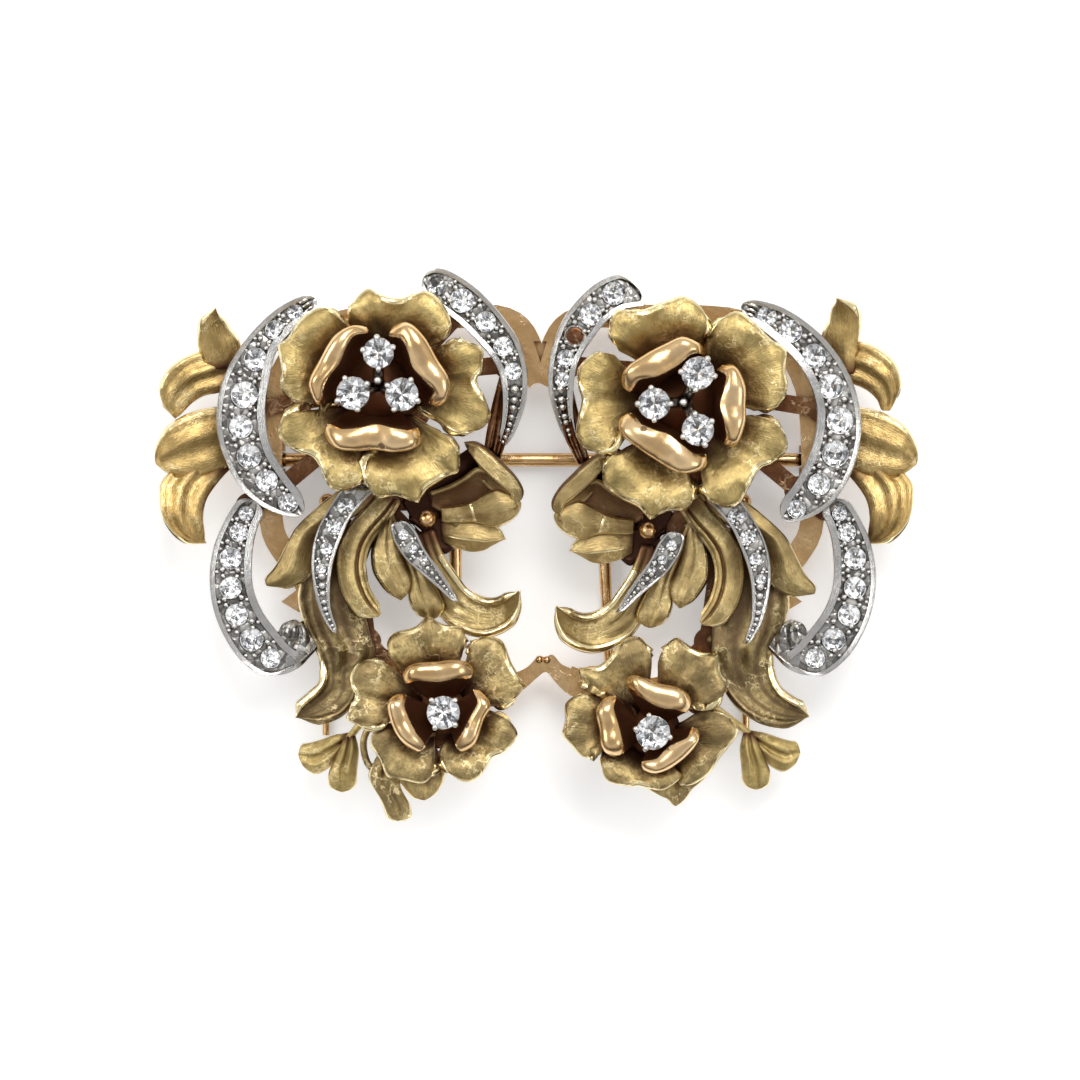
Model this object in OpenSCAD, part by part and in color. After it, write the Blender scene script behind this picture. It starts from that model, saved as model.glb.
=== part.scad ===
/* [Frame] */
// Width of the brooch frame's flat bar
frame_bar_w = 2.0; // [1.6:0.1:2.2]
// Thickness of the frame's bar
frame_bar_t = 1.2; // [1.0:0.1:1.3]
// Radius of the pin stem's wire
pin_r = 0.58; // [0.5:0.01:0.6]

/* [Clips] */
// Thickness of the backing bars of a clip
base_t = 1.2; // [1.0:0.1:1.3]
// Width of the backing bars
base_bar_w = 1.5; // [1.2:0.1:1.8]
// Thickness of leaves and outer petals
leaf_t = 0.8; // [0.7:0.05:0.9]
// Height of the large stone set ribbons
ribbon_h = 2.0; // [1.6:0.1:2.0]
// Width of a ribbon's bright rim
rim_w = 0.42; // [0.35:0.01:0.5]

/* [Stones] */
// Crown height of a stone as a share of its width
crown_share = 0.15; // [0.1:0.01:0.16]
// Pavilion depth of a stone as a share of its width
pavilion_share = 0.33; // [0.3:0.01:0.34]
// Table of a stone as a share of its width
table_share = 0.55; // [0.5:0.01:0.62]

/* [Hidden] */
SIDES = ["left", "right"];
SIDE_NODES = ["clip_base", "clip_lever", "upper_side_leaf", "lower_side_leaf", "leaf_spray",
    "long_scroll", "lower_scroll", "bell_flower", "bud_spray",
    "outer_ribbon", "top_ribbon", "lower_ribbon", "middle_ribbon", "small_ribbon",
    "outer_ribbon_stones", "top_ribbon_stones", "lower_ribbon_stones", "inner_ribbon_stones",
    "big_flower_petals", "big_flower_inner_petals", "big_flower_setting",
    "big_stone_1", "big_stone_2", "big_stone_3",
    "small_flower_petals", "small_flower_inner_petals", "small_flower_setting", "small_stone"];

// Colours as the metal and stones show them
satin_gold = [0.78, 0.67, 0.38];
rose_gold = [0.74, 0.53, 0.35];
polished_gold = [0.90, 0.73, 0.50];
platinum = [0.82, 0.81, 0.79];
diamond = [0.93, 0.95, 0.97];

// Heights above the surface that the brooch lies on
frame_z = 2.4;
frame_top = frame_z + frame_bar_t;
foot_gap = 0.05;
petal_gap = 0.15;
base_z = frame_top + foot_gap;
base_top = base_z + base_t;
foot_z = base_top + foot_gap;
foot_r = 0.5;
pad_r = 1.2;
pin_y = 7.1;
pin_z = 0.95;
pivot_x = -22.4;
catch_x = 23.2;
mid_x = 0.35;
lever_y = 3.5;
lever_z = 1.35;
axle_r = 0.6;
running_gap = 0.05;
round_fn = 48;
mesh_fn = 6;

// Geometry shared by every piece: smooth rows, lofts between rings, rods and bars
function row_at(rows, i) = rows[max(0, min(len(rows) - 1, i))];
function spline(a, b, c, d, t) =
    0.5 * (2 * b + (c - a) * t + (2 * a - 5 * b + 4 * c - d) * t * t + (3 * b - a - 3 * c + d) * t * t * t);
function smooth(rows, n) = [
    for (i = [0 : len(rows) - 2]) for (k = [0 : n - 1])
        spline(row_at(rows, i - 1), rows[i], rows[i + 1], row_at(rows, i + 2), k / n),
    rows[len(rows) - 1]];
function mix(a, b, t) = a + (b - a) * t;
function unit(v) = v / norm(v);
function polar(a) = [cos(a), sin(a)];
function sum(v) = v * [for (x = v) 1];
function solid_sign(points, faces) =
    sum([for (f = faces) points[f[0]] * cross(points[f[1]], points[f[2]])]);
function flipped(faces) = [for (f = faces) [f[0], f[2], f[1]]];

// A closed solid through rings of equal count; a fan closes a round or boxed end, a strip a thin one
module loft(rings, fan = false) {
    n = len(rings[0]);
    last = (len(rings) - 1) * n;
    points = [for (r = rings) each r];
    sides = [for (i = [0 : len(rings) - 2]) for (j = [0 : n - 1])
        let (a = i * n + j, b = i * n + (j + 1) % n) each [[a, b, b + n], [a, b + n, a + n]]];
    strip = [for (j = [0 : n / 2 - 2]) each [[j, n - 2 - j, j + 1], [j, n - 1 - j, n - 2 - j]]];
    fans = [for (j = [1 : n - 2]) [0, j + 1, j]];
    cap = fan ? fans : strip;
    far_cap = [for (f = cap) [last + f[0], last + f[2], last + f[1]]];
    faces = concat(sides, cap, far_cap);
    polyhedron(points, solid_sign(points, faces) < 0 ? faces : flipped(faces));
}

// Several lofts soldered into one solid
module fused() { resize([0, 0, 0]) union() children(); }

module rod(p, q, r1, r2, fn = 48) {
    d = q - p;
    translate(p) rotate([0, acos(d[2] / norm(d)), atan2(d[1], d[0])])
        cylinder(h = norm(d), r1 = r1, r2 = r2, $fn = fn);
}

module bar(p, q, w, z, t) {
    d = q - p;
    translate([p[0], p[1], z]) rotate([0, 0, atan2(d[1], d[0])])
        translate([0, -w / 2, 0]) cube([norm(d), w, t]);
}

// A round post standing at a point, and round bars along x and along y
module post(p, z, h, r, fn = round_fn) {
    translate([p[0], p[1], z]) cylinder(h = h, r = r, $fn = fn);
}

module bar_x(x, y, z, length, r1, r2) {
    translate([x, y, z]) rotate([0, 90, 0]) cylinder(h = length, r1 = r1, r2 = r2, $fn = round_fn);
}

module bar_y(x, y, z, length, r) {
    translate([x, y, z]) rotate([-90, 0, 0]) cylinder(h = length, r = r, $fn = round_fn);
}

// Feet of a piece on the backing bars; columns: x, y, top
module feet(rows) {
    for (f = rows) post(f, foot_z, f[2] - foot_z, foot_r, mesh_fn);
}

// The right clip mirrors the left one, each piece shifted as the photograph shows it
module on_side(side, shift = [0, 0]) {
    if (side == "left") children();
    else translate([shift[0], shift[1], 0]) mirror([1, 0, 0]) children();
}

// Leaves: columns left x, left y, right x, right y, left z, right z, rise of the ridge
function leaf_ring(r, ridge, t) =
    let (a = [r[0], r[1], r[4]], b = [r[2], r[3], r[5]],
         up = [0, 0, r[6]], down = [0, 0, -t], edge = [0, 0, -t * 0.55])
    [a, mix(a, b, ridge * 0.5) + up * 0.62, mix(a, b, ridge) + up, b,
     b + edge, mix(a, b, ridge) + up + down, mix(a, b, ridge * 0.5) + up * 0.62 + down, a + edge];
module leaf(rows, ridge = 0.5, steps = 2, t = leaf_t) {
    loft([for (r = smooth(rows, steps)) leaf_ring(r, ridge, t)]);
}

// Ribbons: columns outer x, outer y, inner x, inner y, rim z; the bed is sunk between two rims
function ribbon_ring(r, h, rim, sunk) =
    let (w = norm([r[2] - r[0], r[3] - r[1]]), m = min(rim / w, 0.3), k = min(sunk, w * 0.4),
         a = [r[0], r[1], r[4]], b = [r[2], r[3], r[4]], am = mix(a, b, m), bm = mix(a, b, 1 - m),
         bed_a = mix(a, b, m * 1.25) - [0, 0, k], bed_b = mix(a, b, 1 - m * 1.25) - [0, 0, k])
    [a - [0, 0, h], a, am, bed_a, bed_b, bm, b, b - [0, 0, h]];
module ribbon(rows, h, rim = rim_w, sunk = 0.95, steps = 2, closed = 0.3) {
    s = smooth(rows, steps);
    n = len(s);
    first = [ribbon_ring(s[0], h, rim, 0), ribbon_ring(mix(s[0], s[1], closed), h, rim, sunk)];
    last = [ribbon_ring(mix(s[n - 1], s[n - 2], closed), h, rim, sunk), ribbon_ring(s[n - 1], h, rim, 0)];
    loft(concat(first, [for (i = [1 : n - 2]) ribbon_ring(s[i], h, rim, sunk)], last), fan = true);
}

// Petals: columns edge x, edge y, edge z; each row runs from the flower's root out to the edge
function petal_ring(r, c, middle, root_r, root_z, fan_share, t) =
    let (d = [r[0], r[1]] - c, a = atan2(d[1], d[0]), turn = (a - middle + 540) % 360 - 180,
         s = c + root_r * polar(middle + fan_share * turn),
         p = [s[0], s[1], root_z], q = [r[0], r[1], r[2]], down = [0, 0, -t],
         m = mix(p, q, 0.55) + [0, 0, (q[2] - p[2]) * 0.24])
    [p, m, q, q + down * 0.6, m + down, p + down];
module petal(rows, c, root_r, root_z, fan_share = 0.7, steps = 1, t = leaf_t) {
    m = rows[floor(len(rows) / 2)];
    middle = atan2(m[1] - c[1], m[0] - c[0]);
    loft([for (r = smooth(rows, steps)) petal_ring(r, c, middle, root_r, root_z, fan_share, t)]);
}

// Rolled inner petals: columns inner x, inner y, outer x, outer y, crest z
function roll_ring(r, c, base_r, base_z) =
    let (i = [r[0], r[1]], o = [r[2], r[3]], m = (i + o) / 2, u = unit(m - c), z = r[4],
         bi = c + u * base_r, bo = c + u * (base_r + 0.7),
         w = min(1, norm(o - i) / 1.4), low = mix(m, o, 0.55))
    [[bi[0], bi[1], base_z + 0.1], [mix(bi, i, 0.8)[0], mix(bi, i, 0.8)[1], mix(base_z, z, 0.5)],
     [i[0], i[1], z - 0.45 * w], [m[0], m[1], z],
     [o[0], o[1], z - 0.7 * w], [low[0], low[1], z - 1.0 - 0.5 * w],
     [mix(bo, low, 0.75)[0], mix(bo, low, 0.75)[1], mix(base_z, z, 0.4)], [bo[0], bo[1], base_z]];
module roll(rows, c, base_r, base_z, steps = 1) {
    loft([for (r = smooth(rows, steps)) roll_ring(r, c, base_r, base_z)]);
}

// A brilliant: table, crown, girdle and pavilion
module stone(x, y, z, d) {
    n = d < 1.15 ? 6 : 8;
    table_r = d / 2 * table_share;
    table = [for (i = [0 : n - 1]) concat(table_r * polar(360 / n * (i + 0.5)), d * crown_share)];
    girdle = [for (i = [0 : n - 1]) concat(d / 2 * polar(360 / n * i), 0)];
    points = concat(table, girdle, [[0, 0, -d * pavilion_share]]);
    faces = concat([for (i = [1 : n - 2]) [0, i + 1, i]],
        [for (i = [0 : n - 1]) each [[i, (i + 1) % n, n + (i + 1) % n], [i, n + (i + 1) % n, n + i]]],
        [for (i = [0 : n - 1]) [n + i, n + (i + 1) % n, 2 * n]]);
    translate([x, y, z]) polyhedron(points, solid_sign(points, faces) < 0 ? faces : flipped(faces));
}

// Frame: the outline of one loop's centre line
loop_line = [[0.6, 15.2], [0.9, 16.6], [1.9, 18.4], [3.9, 19.3], [8, 19.3], [13, 19.3], [17.2, 18.8],
    [20.6, 16.8], [22.6, 13.2], [23.1, 8.5], [23.1, 4], [22.9, 1], [21.8, -1], [20.4, -2.8],
    [19.4, -5.2], [18.2, -7.8], [15.8, -10.2], [12.4, -11.9], [8, -12.6], [4.4, -12.2], [2.2, -11.4]];
function offsets(line, w) = [for (i = [0 : len(line) - 1])
    let (d = unit(row_at(line, i + 1) - row_at(line, i - 1))) line[i] + w / 2 * [-d[1], d[0]]];
module band_plate(line, w, z, t) {
    s = smooth(line, 3);
    a = offsets(s, w);
    b = offsets(s, -w);
    n = len(s);
    translate([0, 0, z]) linear_extrude(t) polygon([for (p = a) p, for (i = [n - 1 : -1 : 0]) b[i]]);
}
frame_lug = [[-1.2, -1], [-1.2, 1.2], [0.6, 0.6], [1.9, -0.4], [0.4, -1.3]];
// Outlines of the plates that join the loops, and of the notch between them
top_saddle = [[-1.2, 17.9], [-0.3, 17.0], [0.2, 16.85], [0.7, 17.1], [1.6, 18.2], [1.6, 15.5],
    [1.3, 13.4], [0.75, 13.35], [0.2, 13.62], [-0.35, 13.55], [-0.8, 13.3], [-1.0, 15.5]];
top_notch = [[-0.33, 17.2], [0.8, 17.2], [0.24, 15.4]];
low_saddle = [[-4.2, -11.8], [-2.2, -11.15], [-1.0, -10.65], [-0.4, -10.1], [0.1, -9.6], [0.65, -9.72],
    [1.2, -9.5], [1.6, -9.8], [2.1, -10.35], [3.4, -10.9], [4.9, -11.6], [4.6, -13.2], [2.8, -13.0],
    [1.6, -11.95], [0.75, -11.0], [-0.05, -11.5], [-0.95, -12.3], [-2.2, -13.1], [-4.0, -13.3]];
saddle_nubs = [[0.15, -9.95], [0.8, -9.98]];
nub_r = 0.36;
hinge_r = 0.35;
tube_ears = [pin_y - 1.6, pin_y + 0.75];
catch_ears = [pin_y - pin_r - 0.65, pin_y + pin_r + 0.05];
module plate(outline) {
    translate([0, 0, frame_z]) linear_extrude(frame_bar_t) polygon(outline);
}

module half_frame() {
    band_plate(loop_line, frame_bar_w, frame_z, frame_bar_t);
    translate([20.3, -4.6, 0]) plate(frame_lug);
}

module brooch_frame() color(rose_gold) difference() {
    union() {
        for (s = [-1, 1]) translate([mid_x, 0, 0]) scale([s, 1, 1]) half_frame();
        plate(smooth(top_saddle, 3));
        plate(smooth(low_saddle, 3));
        for (p = saddle_nubs) translate([p[0], p[1], frame_top - 0.2]) sphere(r = nub_r, $fn = round_fn);
        for (y = tube_ears) translate([pivot_x - 0.9, y, 0]) cube([1.8, 0.85, frame_z + 0.1]);
        for (y = catch_ears) translate([catch_x - 0.9, y, 0]) cube([1.8, 0.6, frame_z + 0.1]);
    }
    bar_y(pivot_x, pin_y - 2, pin_z, 4, hinge_r + running_gap);
    translate([0, 0, frame_top - 0.5]) linear_extrude(1) polygon(top_notch);
}

// The pin runs from its hinge to the catch and ends in a point
pin_shoulder = catch_x - 1.2;
module pin_stem() color(rose_gold) {
    bar_y(pivot_x, pin_y - 0.68, pin_z, 1.36, 0.8);
    bar_y(pivot_x, pin_y - 1.55, pin_z, 3.1, hinge_r);
    bar_x(pivot_x, pin_y, pin_z, pin_shoulder - pivot_x, pin_r, pin_r);
    bar_x(pin_shoulder, pin_y, pin_z, 2.6, pin_r, 0.15);
}

// Backing of a clip: bars by x, y of both ends, pads by x, y, discs under the flowers by x, y, radius
base_bars = [
    [[-13.5, 9], [-13.5, 3.6]],
    [[-13.5, 3.6], [-15.4, -1.6]],
    [[-15.4, -1.6], [-14.5, -8.4]],
    [[-14.5, -8.4], [-11, -12.2]],
    [[-11, -12.2], [-8.85, -15.15]],
    [[-16.6, 15.2], [-21.7, 17.5]],
    [[-17, 12.6], [-24.2, 11.4]],
    [[-24.2, 11.4], [-26.3, 9]],
    [[-24.2, 11.4], [-26.3, 14.9]],
    [[-15.8, 9.8], [-22.2, 4.5]],
    [[-21.9, 4.75], [-24.6, 2.95]],
    [[-9.5, 14.6], [-2.6, 15.2]],
    [[-10.2, 15.8], [-6.3, 20.0]],
    [[-13.5, 3.6], [-5.4, 3.7]],
    [[-13.5, 3.6], [-9.2, -0.95]],
    [[-15.2, -4.6], [-20.85, -8.0]],
    [[-11, -12.2], [-13.7, -13.4]],
    [[-16.8, 3.5], [-9, 3.5]]
];
base_pads = [[-13.5, 3.6], [-14.5, -8.4], [-21.7, 17.5], [-24.2, 11.4], [-26.3, 9], [-26.3, 14.9],
    [-22.2, 4.5], [-24.55, 3.1], [-2.6, 15.2], [-6.3, 20.0], [-5.4, 3.7], [-9.2, -0.95],
    [-20.85, -8.0], [-13.7, -13.4], [-11.5, 0.9], [-15.6, 3.7], [-15.6, 0.1]];
base_rings = [[-13.2, 12.9, 4.6], [-8.85, -15.15, 2.4]];
lever_ears = [-16.2, -9.2];
module clip_base(side) color(rose_gold) on_side(side) {
    difference() {
        union() {
            for (d = base_rings) post(d, base_z, base_t, d[2]);
            for (b = base_bars) bar(b[0], b[1], base_bar_w, base_z, base_t);
            for (p = base_pads) post(p, base_z, base_t, pad_r);
            for (x = lever_ears) translate([x - 0.6, lever_y - 1.1, lever_z - 0.95])
                cube([1.2, 2.2, base_top - lever_z + 0.95]);
        }
        bar_x(-20, lever_y, lever_z, 16, axle_r + running_gap, axle_r + running_gap);
    }
}

// Lever: an axle in the ears and two tapering prongs; ends are the prongs' x at the axle and at the tip
lever_ends = [["left", [-17.9, -18.05], [-7.05, -6.9]], ["right", [-17.5, -17.8], [-5.5, -6.4]]];
lever_tip_y = -16.4;
module clip_lever(side) color(rose_gold) on_side(side) {
    ends = [for (e = lever_ends) if (e[0] == side) e][0];
    bar_x(ends[1][0] - 0.3, lever_y, lever_z, ends[2][0] - ends[1][0] + 0.6, axle_r, axle_r);
    for (x = [ends[1], ends[2]]) {
        translate([x[0], lever_y, lever_z]) sphere(r = 0.75, $fn = round_fn);
        rod([x[0], lever_y, lever_z], [x[1], lever_tip_y, 0.3], 0.62, 0.3);
    }
}

// Side leaves
upper_leaf_curl = [[-28.0, 14.8, -25.4, 15.0, 6.4, 6.2, 0.5],
    [-28.9, 16.6, -25.5, 17.0, 6.8, 6.6, 0.5], [-28.8, 17.9, -26.3, 18.1, 7.3, 6.9, 0.3],
    [-28.3, 19.0, -26.9, 19.0, 8.0, 7.4, 0.1], [-27.5, 20.05, -27.2, 19.9, 8.6, 8.3, 0]];
upper_leaf_curl_right = [[-27.0, 14.4, -24.6, 14.6, 6.4, 6.2, 0.5],
    [-27.3, 16.8, -24.4, 17.6, 6.8, 6.6, 0.5], [-27.4, 18.6, -25.0, 18.8, 7.3, 6.9, 0.3],
    [-26.9, 19.9, -25.2, 19.9, 8.0, 7.4, 0.1], [-25.6, 20.9, -25.25, 20.75, 8.6, 8.3, 0]];
upper_leaf_lobe = [[-26.6, 16.6, -25.4, 13.4, 6.0, 6.0, 0.4],
    [-28.8, 16.2, -27.1, 12.8, 6.5, 6.2, 0.5], [-30.3, 15.5, -28.4, 12.5, 7.0, 6.3, 0.5],
    [-31.5, 14.4, -29.4, 11.9, 7.2, 6.4, 0.4], [-32.1, 12.9, -30.0, 11.3, 7.0, 6.4, 0.3],
    [-31.8, 11.7, -30.4, 10.9, 6.6, 6.3, 0.2], [-30.95, 10.6, -30.7, 10.6, 6.2, 6.2, 0]];
upper_leaf_lobe_right = [[-26.4, 17.2, -24.8, 14.2, 6.0, 6.0, 0.4],
    [-28.0, 16.9, -26.9, 13.5, 6.5, 6.2, 0.5], [-29.4, 16.1, -28.0, 13.0, 7.0, 6.3, 0.5],
    [-30.4, 15.0, -28.8, 12.3, 7.2, 6.4, 0.4], [-30.85, 13.4, -29.1, 11.7, 7.0, 6.4, 0.3],
    [-30.5, 12.2, -29.3, 11.3, 6.6, 6.3, 0.2], [-30.1, 11.3, -29.8, 11.2, 6.2, 6.2, 0]];
lower_leaf_upper = [[-26.2, 11.5, -25.6, 7.0, 5.9, 5.9, 0.3], [-28.6, 11.2, -27.4, 6.0, 6.4, 6.2, 0.5],
    [-30.3, 10.5, -29.0, 5.6, 6.8, 6.4, 0.5], [-31.7, 9.4, -30.6, 5.6, 7.0, 6.6, 0.4],
    [-32.5, 7.9, -31.6, 6.0, 6.7, 6.4, 0.3], [-32.65, 6.9, -32.2, 6.4, 6.2, 6.1, 0]];
lower_leaf_lower = [[-29.6, 7.6, -26.2, 6.3, 5.9, 5.8, 0.3], [-31.9, 5.4, -27.4, 4.9, 6.5, 6.2, 0.5],
    [-32.15, 3.9, -28.2, 3.6, 7.0, 6.5, 0.5], [-31.9, 2.2, -28.45, 2.2, 7.2, 6.7, 0.5],
    [-30.9, 0.8, -28.35, 1.1, 7.0, 6.3, 0.3], [-29.4, 0.05, -28.3, 0.4, 6.5, 5.9, 0.05],
    [-28.3, -0.1, -28.1, 0.1, 5.9, 5.85, 0]];
module upper_side_leaf(side) color(satin_gold) on_side(side) fused() {
    leaf(side == "left" ? upper_leaf_curl : upper_leaf_curl_right, 0.45, 1);
    leaf(side == "left" ? upper_leaf_lobe : upper_leaf_lobe_right, 0.45, 1);
    feet([[-26.3, 14.9, 6.0]]);
}

module lower_side_leaf(side) color(satin_gold) on_side(side, [-0.2, 0]) fused() {
    leaf(lower_leaf_upper, 0.4, 1);
    leaf(lower_leaf_lower, 0.45, 1);
    feet([[-26.3, 9, 5.9]]);
}

// Leaves that fan out from under the big flower
blade_leaf = [[-15.6, 5.4, -13.6, 4.0, 7.2, 7.2, 0.3], [-18.3, 3.4, -15.6, 2.4, 7.4, 7.3, 0.3],
    [-20.4, 1.5, -18.4, 0.8, 7.4, 7.2, 0.4], [-21.3, 0, -19.1, -0.8, 7.4, 7.1, 0.4],
    [-22.2, -1.8, -19.4, -2.7, 7.4, 7.1, 0.4], [-23.0, -2.8, -20.8, -3.7, 7.3, 7.1, 0.3],
    [-23.5, -3.35, -22.6, -3.9, 7.3, 7.2, 0.1]];
crescent_leaf = [[-12.6, 4.9, -12.0, 3.4, 7.4, 7.4, 0.2], [-14.2, 3.3, -12.7, 2.2, 7.5, 7.4, 0.3],
    [-15.8, 1.6, -13.7, 1.0, 7.5, 7.4, 0.4], [-16.7, -0.2, -14.5, -0.3, 7.5, 7.4, 0.4],
    [-16.95, -2.2, -14.8, -2.2, 7.5, 7.4, 0.4], [-16.5, -4.3, -14.4, -3.9, 7.6, 7.5, 0.4],
    [-15.4, -5.9, -13.7, -5.2, 7.7, 7.6, 0.3], [-14.1, -6.5, -12.95, -6.0, 7.9, 7.8, 0.1]];
centre_leaf = [[-13.5, 3.2, -12.7, 3.3, 6.9, 6.9, 0.1], [-13.5, 1.2, -12.2, 1.4, 6.9, 6.9, 0.2],
    [-13.95, -0.7, -11.8, -0.5, 6.9, 6.9, 0.3], [-13.8, -2.4, -11.2, -2.0, 6.9, 6.9, 0.35],
    [-13.0, -3.7, -10.8, -3.1, 6.9, 6.9, 0.3], [-12.3, -4.4, -10.95, -4.1, 6.8, 6.8, 0.2],
    [-11.8, -4.9, -11.4, -4.8, 6.7, 6.7, 0]];
second_leaf = [[-13.6, 4.0, -12.8, 4.0, 6.7, 6.7, 0.1], [-12.6, 1.2, -11.8, 1.4, 6.55, 6.55, 0.2],
    [-11.7, -0.8, -10.4, -0.6, 6.45, 6.45, 0.3], [-11.0, -2.8, -9.4, -2.5, 6.45, 6.45, 0.3],
    [-10.95, -4.4, -8.6, -3.9, 6.45, 6.45, 0.3], [-10.6, -5.6, -8.0, -5.3, 6.45, 6.45, 0.3],
    [-9.9, -6.5, -8.3, -6.5, 6.35, 6.35, 0.1]];
// The middle ribbon's foot passes through a hole in the blade leaf
middle_foot = [-15.3, 4.2];
module leaf_spray(side) color(satin_gold) on_side(side, [0.5, -0.7]) fused() difference() {
    union() {
        leaf(blade_leaf, 0.45, 1);
        leaf(crescent_leaf, 0.7, 1);
        leaf(centre_leaf, 0.6, 1);
        leaf(second_leaf, 0.5, 1);
        post([-13.3, 4.0], foot_z, 7.2 - foot_z, 0.9, 8);
    }
    post([middle_foot[0] - 0.05, middle_foot[1] - 0.1], foot_z, 4, foot_r + 0.25, mesh_fn);
}

// Scrolls
long_scroll_rows = [[-17.6, 2.2, -15.8, 1.8, 5.9, 5.9, 0.2], [-19.2, -1.2, -15.2, -1.2, 6.1, 6.0, 0.2],
    [-20.3, -4.2, -15.2, -4.5, 6.2, 6.0, 0.2], [-19.9, -6.6, -14.5, -7.4, 6.2, 6.0, 0.2],
    [-18.8, -9.0, -14.0, -9.6, 6.3, 6.1, 0.2], [-18.0, -10.9, -15.6, -11.0, 6.5, 6.2, 0],
    [-18.2, -12.2, -15.7, -12.7, 6.8, 6.4, -0.2], [-19.2, -13.2, -16.9, -14.2, 7.2, 6.8, -0.3],
    [-20.1, -14.0, -18.8, -14.85, 7.6, 7.3, -0.2], [-20.65, -14.65, -20.4, -14.95, 7.9, 7.8, 0]];
long_scroll_rows_right = [[-17.8, 1.4, -15.9, 1.0, 5.9, 5.9, 0.2],
    [-20.0, -1.6, -15.3, -1.6, 6.1, 6.0, 0.2], [-21.3, -4.6, -15.3, -4.8, 6.2, 6.0, 0.2],
    [-21.0, -6.8, -15.0, -7.6, 6.2, 6.0, 0.2], [-20.1, -8.9, -15.0, -9.4, 6.3, 6.1, 0.2],
    [-19.7, -10.8, -16.0, -11.8, 6.5, 6.2, 0], [-20.3, -12.5, -17.3, -13.6, 6.8, 6.4, -0.2],
    [-21.4, -13.5, -19.2, -14.8, 7.2, 6.8, -0.3], [-22.4, -14.05, -21.4, -15.15, 7.6, 7.3, -0.2],
    [-23.15, -14.5, -22.9, -14.95, 7.9, 7.8, 0]];
lower_scroll_rows = [[-9.2, 1.0, -10.8, 0.4, 6.3, 5.9, 0.2], [-8.4, -1.2, -9.9, -2.2, 6.2, 5.6, 0.2],
    [-7.15, -3.0, -8.9, -4.4, 6.1, 5.6, 0.2], [-6.2, -4.15, -7.9, -6.2, 6.0, 5.6, 0.2],
    [-5.1, -4.95, -6.2, -7.2, 6.2, 5.9, 0], [-4.0, -5.2, -4.4, -7.5, 6.6, 6.4, -0.2],
    [-3.0, -5.0, -2.7, -6.8, 7.2, 7.2, -0.2], [-2.15, -4.45, -1.75, -5.5, 7.9, 7.9, -0.1],
    [-1.65, -3.95, -1.42, -4.15, 8.5, 8.5, 0]];
module long_scroll(side) color(satin_gold) on_side(side) fused() {
    leaf(side == "left" ? long_scroll_rows : long_scroll_rows_right, 0.4, 1);
    feet([[-14.9, -8.3, 5.9],
    [-15.9, 0.1, 5.8], side == "left" ? [-18.7, -6.9, 5.9] : [-19.7, -7.4, 5.9]]);
}

module lower_scroll(side) color(satin_gold) on_side(side, [0.05, -1.3]) fused() {
    leaf(lower_scroll_rows, 0.5, 1, 0.7);
    feet([[-9.2, side == "left" ? -0.6 : 0, 5.8]]);
}

// Bell flower: the bevelled lip, the fold inside it, the front petal, the inner wall, the back of
// the opening, the leaf below and the bead
bell_lip = [
    [-6.25, 8.6, -6.1, 8.15, 8.5, 8.5, 0.15], [-5.2, 8.65, -5.5, 7.3, 8.6, 8.8, 0.35],
    [-4.05, 7.95, -4.35, 6.05, 8.6, 8.9, 0.4], [-2.95, 6.9, -3.15, 5.05, 8.6, 8.9, 0.4],
    [-1.85, 5.75, -2.15, 4.3, 8.5, 8.8, 0.35], [-1.2, 4.6, -1.95, 3.7, 8.3, 8.5, 0.25],
    [-1.25, 3.7, -2.0, 3.2, 8.1, 8.3, 0.1]
];
bell_fold = [
    [-5.0, 6.8, -4.85, 5.6, 8.5, 7.4, 0], [-4.3, 6.25, -4.0, 4.3, 8.6, 7.55, -0.1],
    [-3.15, 5.3, -3.0, 3.8, 8.6, 7.75, -0.1], [-2.15, 4.5, -2.1, 3.0, 8.5, 7.95, -0.1],
    [-1.85, 3.6, -1.7, 2.95, 8.2, 7.95, 0]
];
bell_front = [
    [-8.2, 2.9, -8.15, 1.85, 6.6, 6.5, 0.15], [-6.9, 3.05, -6.8, 1.85, 6.9, 6.8, 0.2],
    [-5.75, 3.35, -5.35, 1.9, 7.3, 7.1, 0.3], [-4.75, 4.0, -4.1, 1.45, 7.7, 7.3, 0.45],
    [-3.6, 4.5, -2.95, 1.6, 8.0, 7.6, 0.5], [-2.6, 4.2, -2.0, 2.3, 8.1, 7.8, 0.35],
    [-1.9, 3.8, -1.3, 3.4, 8.1, 8.0, 0.1]
];
bell_wall = [
    [-9.0, 4.1, -8.9, 3.0, 6.6, 6.4, -0.05], [-8.2, 4.4, -8.1, 2.6, 6.9, 6.4, -0.15],
    [-7.2, 4.8, -6.8, 2.65, 7.3, 6.6, -0.25], [-6.1, 5.45, -5.6, 2.95, 7.7, 6.9, -0.3],
    [-5.15, 6.15, -4.6, 3.6, 8.0, 7.3, -0.2], [-4.6, 6.1, -4.0, 4.3, 8.1, 7.6, 0]
];
bell_back = [
    [-9.5, 4.6, -8.6, 3.1, 5.9, 6.1, 0], [-8.3, 6.0, -7.2, 3.1, 6.1, 6.1, -0.2],
    [-6.9, 7.1, -5.9, 3.4, 6.7, 6.4, -0.3], [-5.9, 7.8, -4.9, 4.0, 7.5, 6.8, -0.3],
    [-5.2, 7.9, -4.3, 4.6, 8.1, 7.2, 0]
];
bell_leaf = [
    [-8.2, 1.75, -8.1, 0.15, 6.0, 5.9, 0.15], [-6.9, 1.95, -7.1, -0.4, 6.4, 6.1, 0.5],
    [-5.3, 2.0, -5.7, -0.75, 6.6, 6.2, 0.65], [-4.1, 1.55, -4.6, -0.65, 6.8, 6.4, 0.5],
    [-3.2, 0.95, -3.7, -0.15, 6.9, 6.6, 0.25], [-2.65, 0.35, -2.75, 0.3, 6.9, 6.9, 0]
];
bell_bead = [-9.4, 2.1, 8.0];
bell_root = [-8.0, 2.5, 5.9];
bell_t = 0.5;

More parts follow.
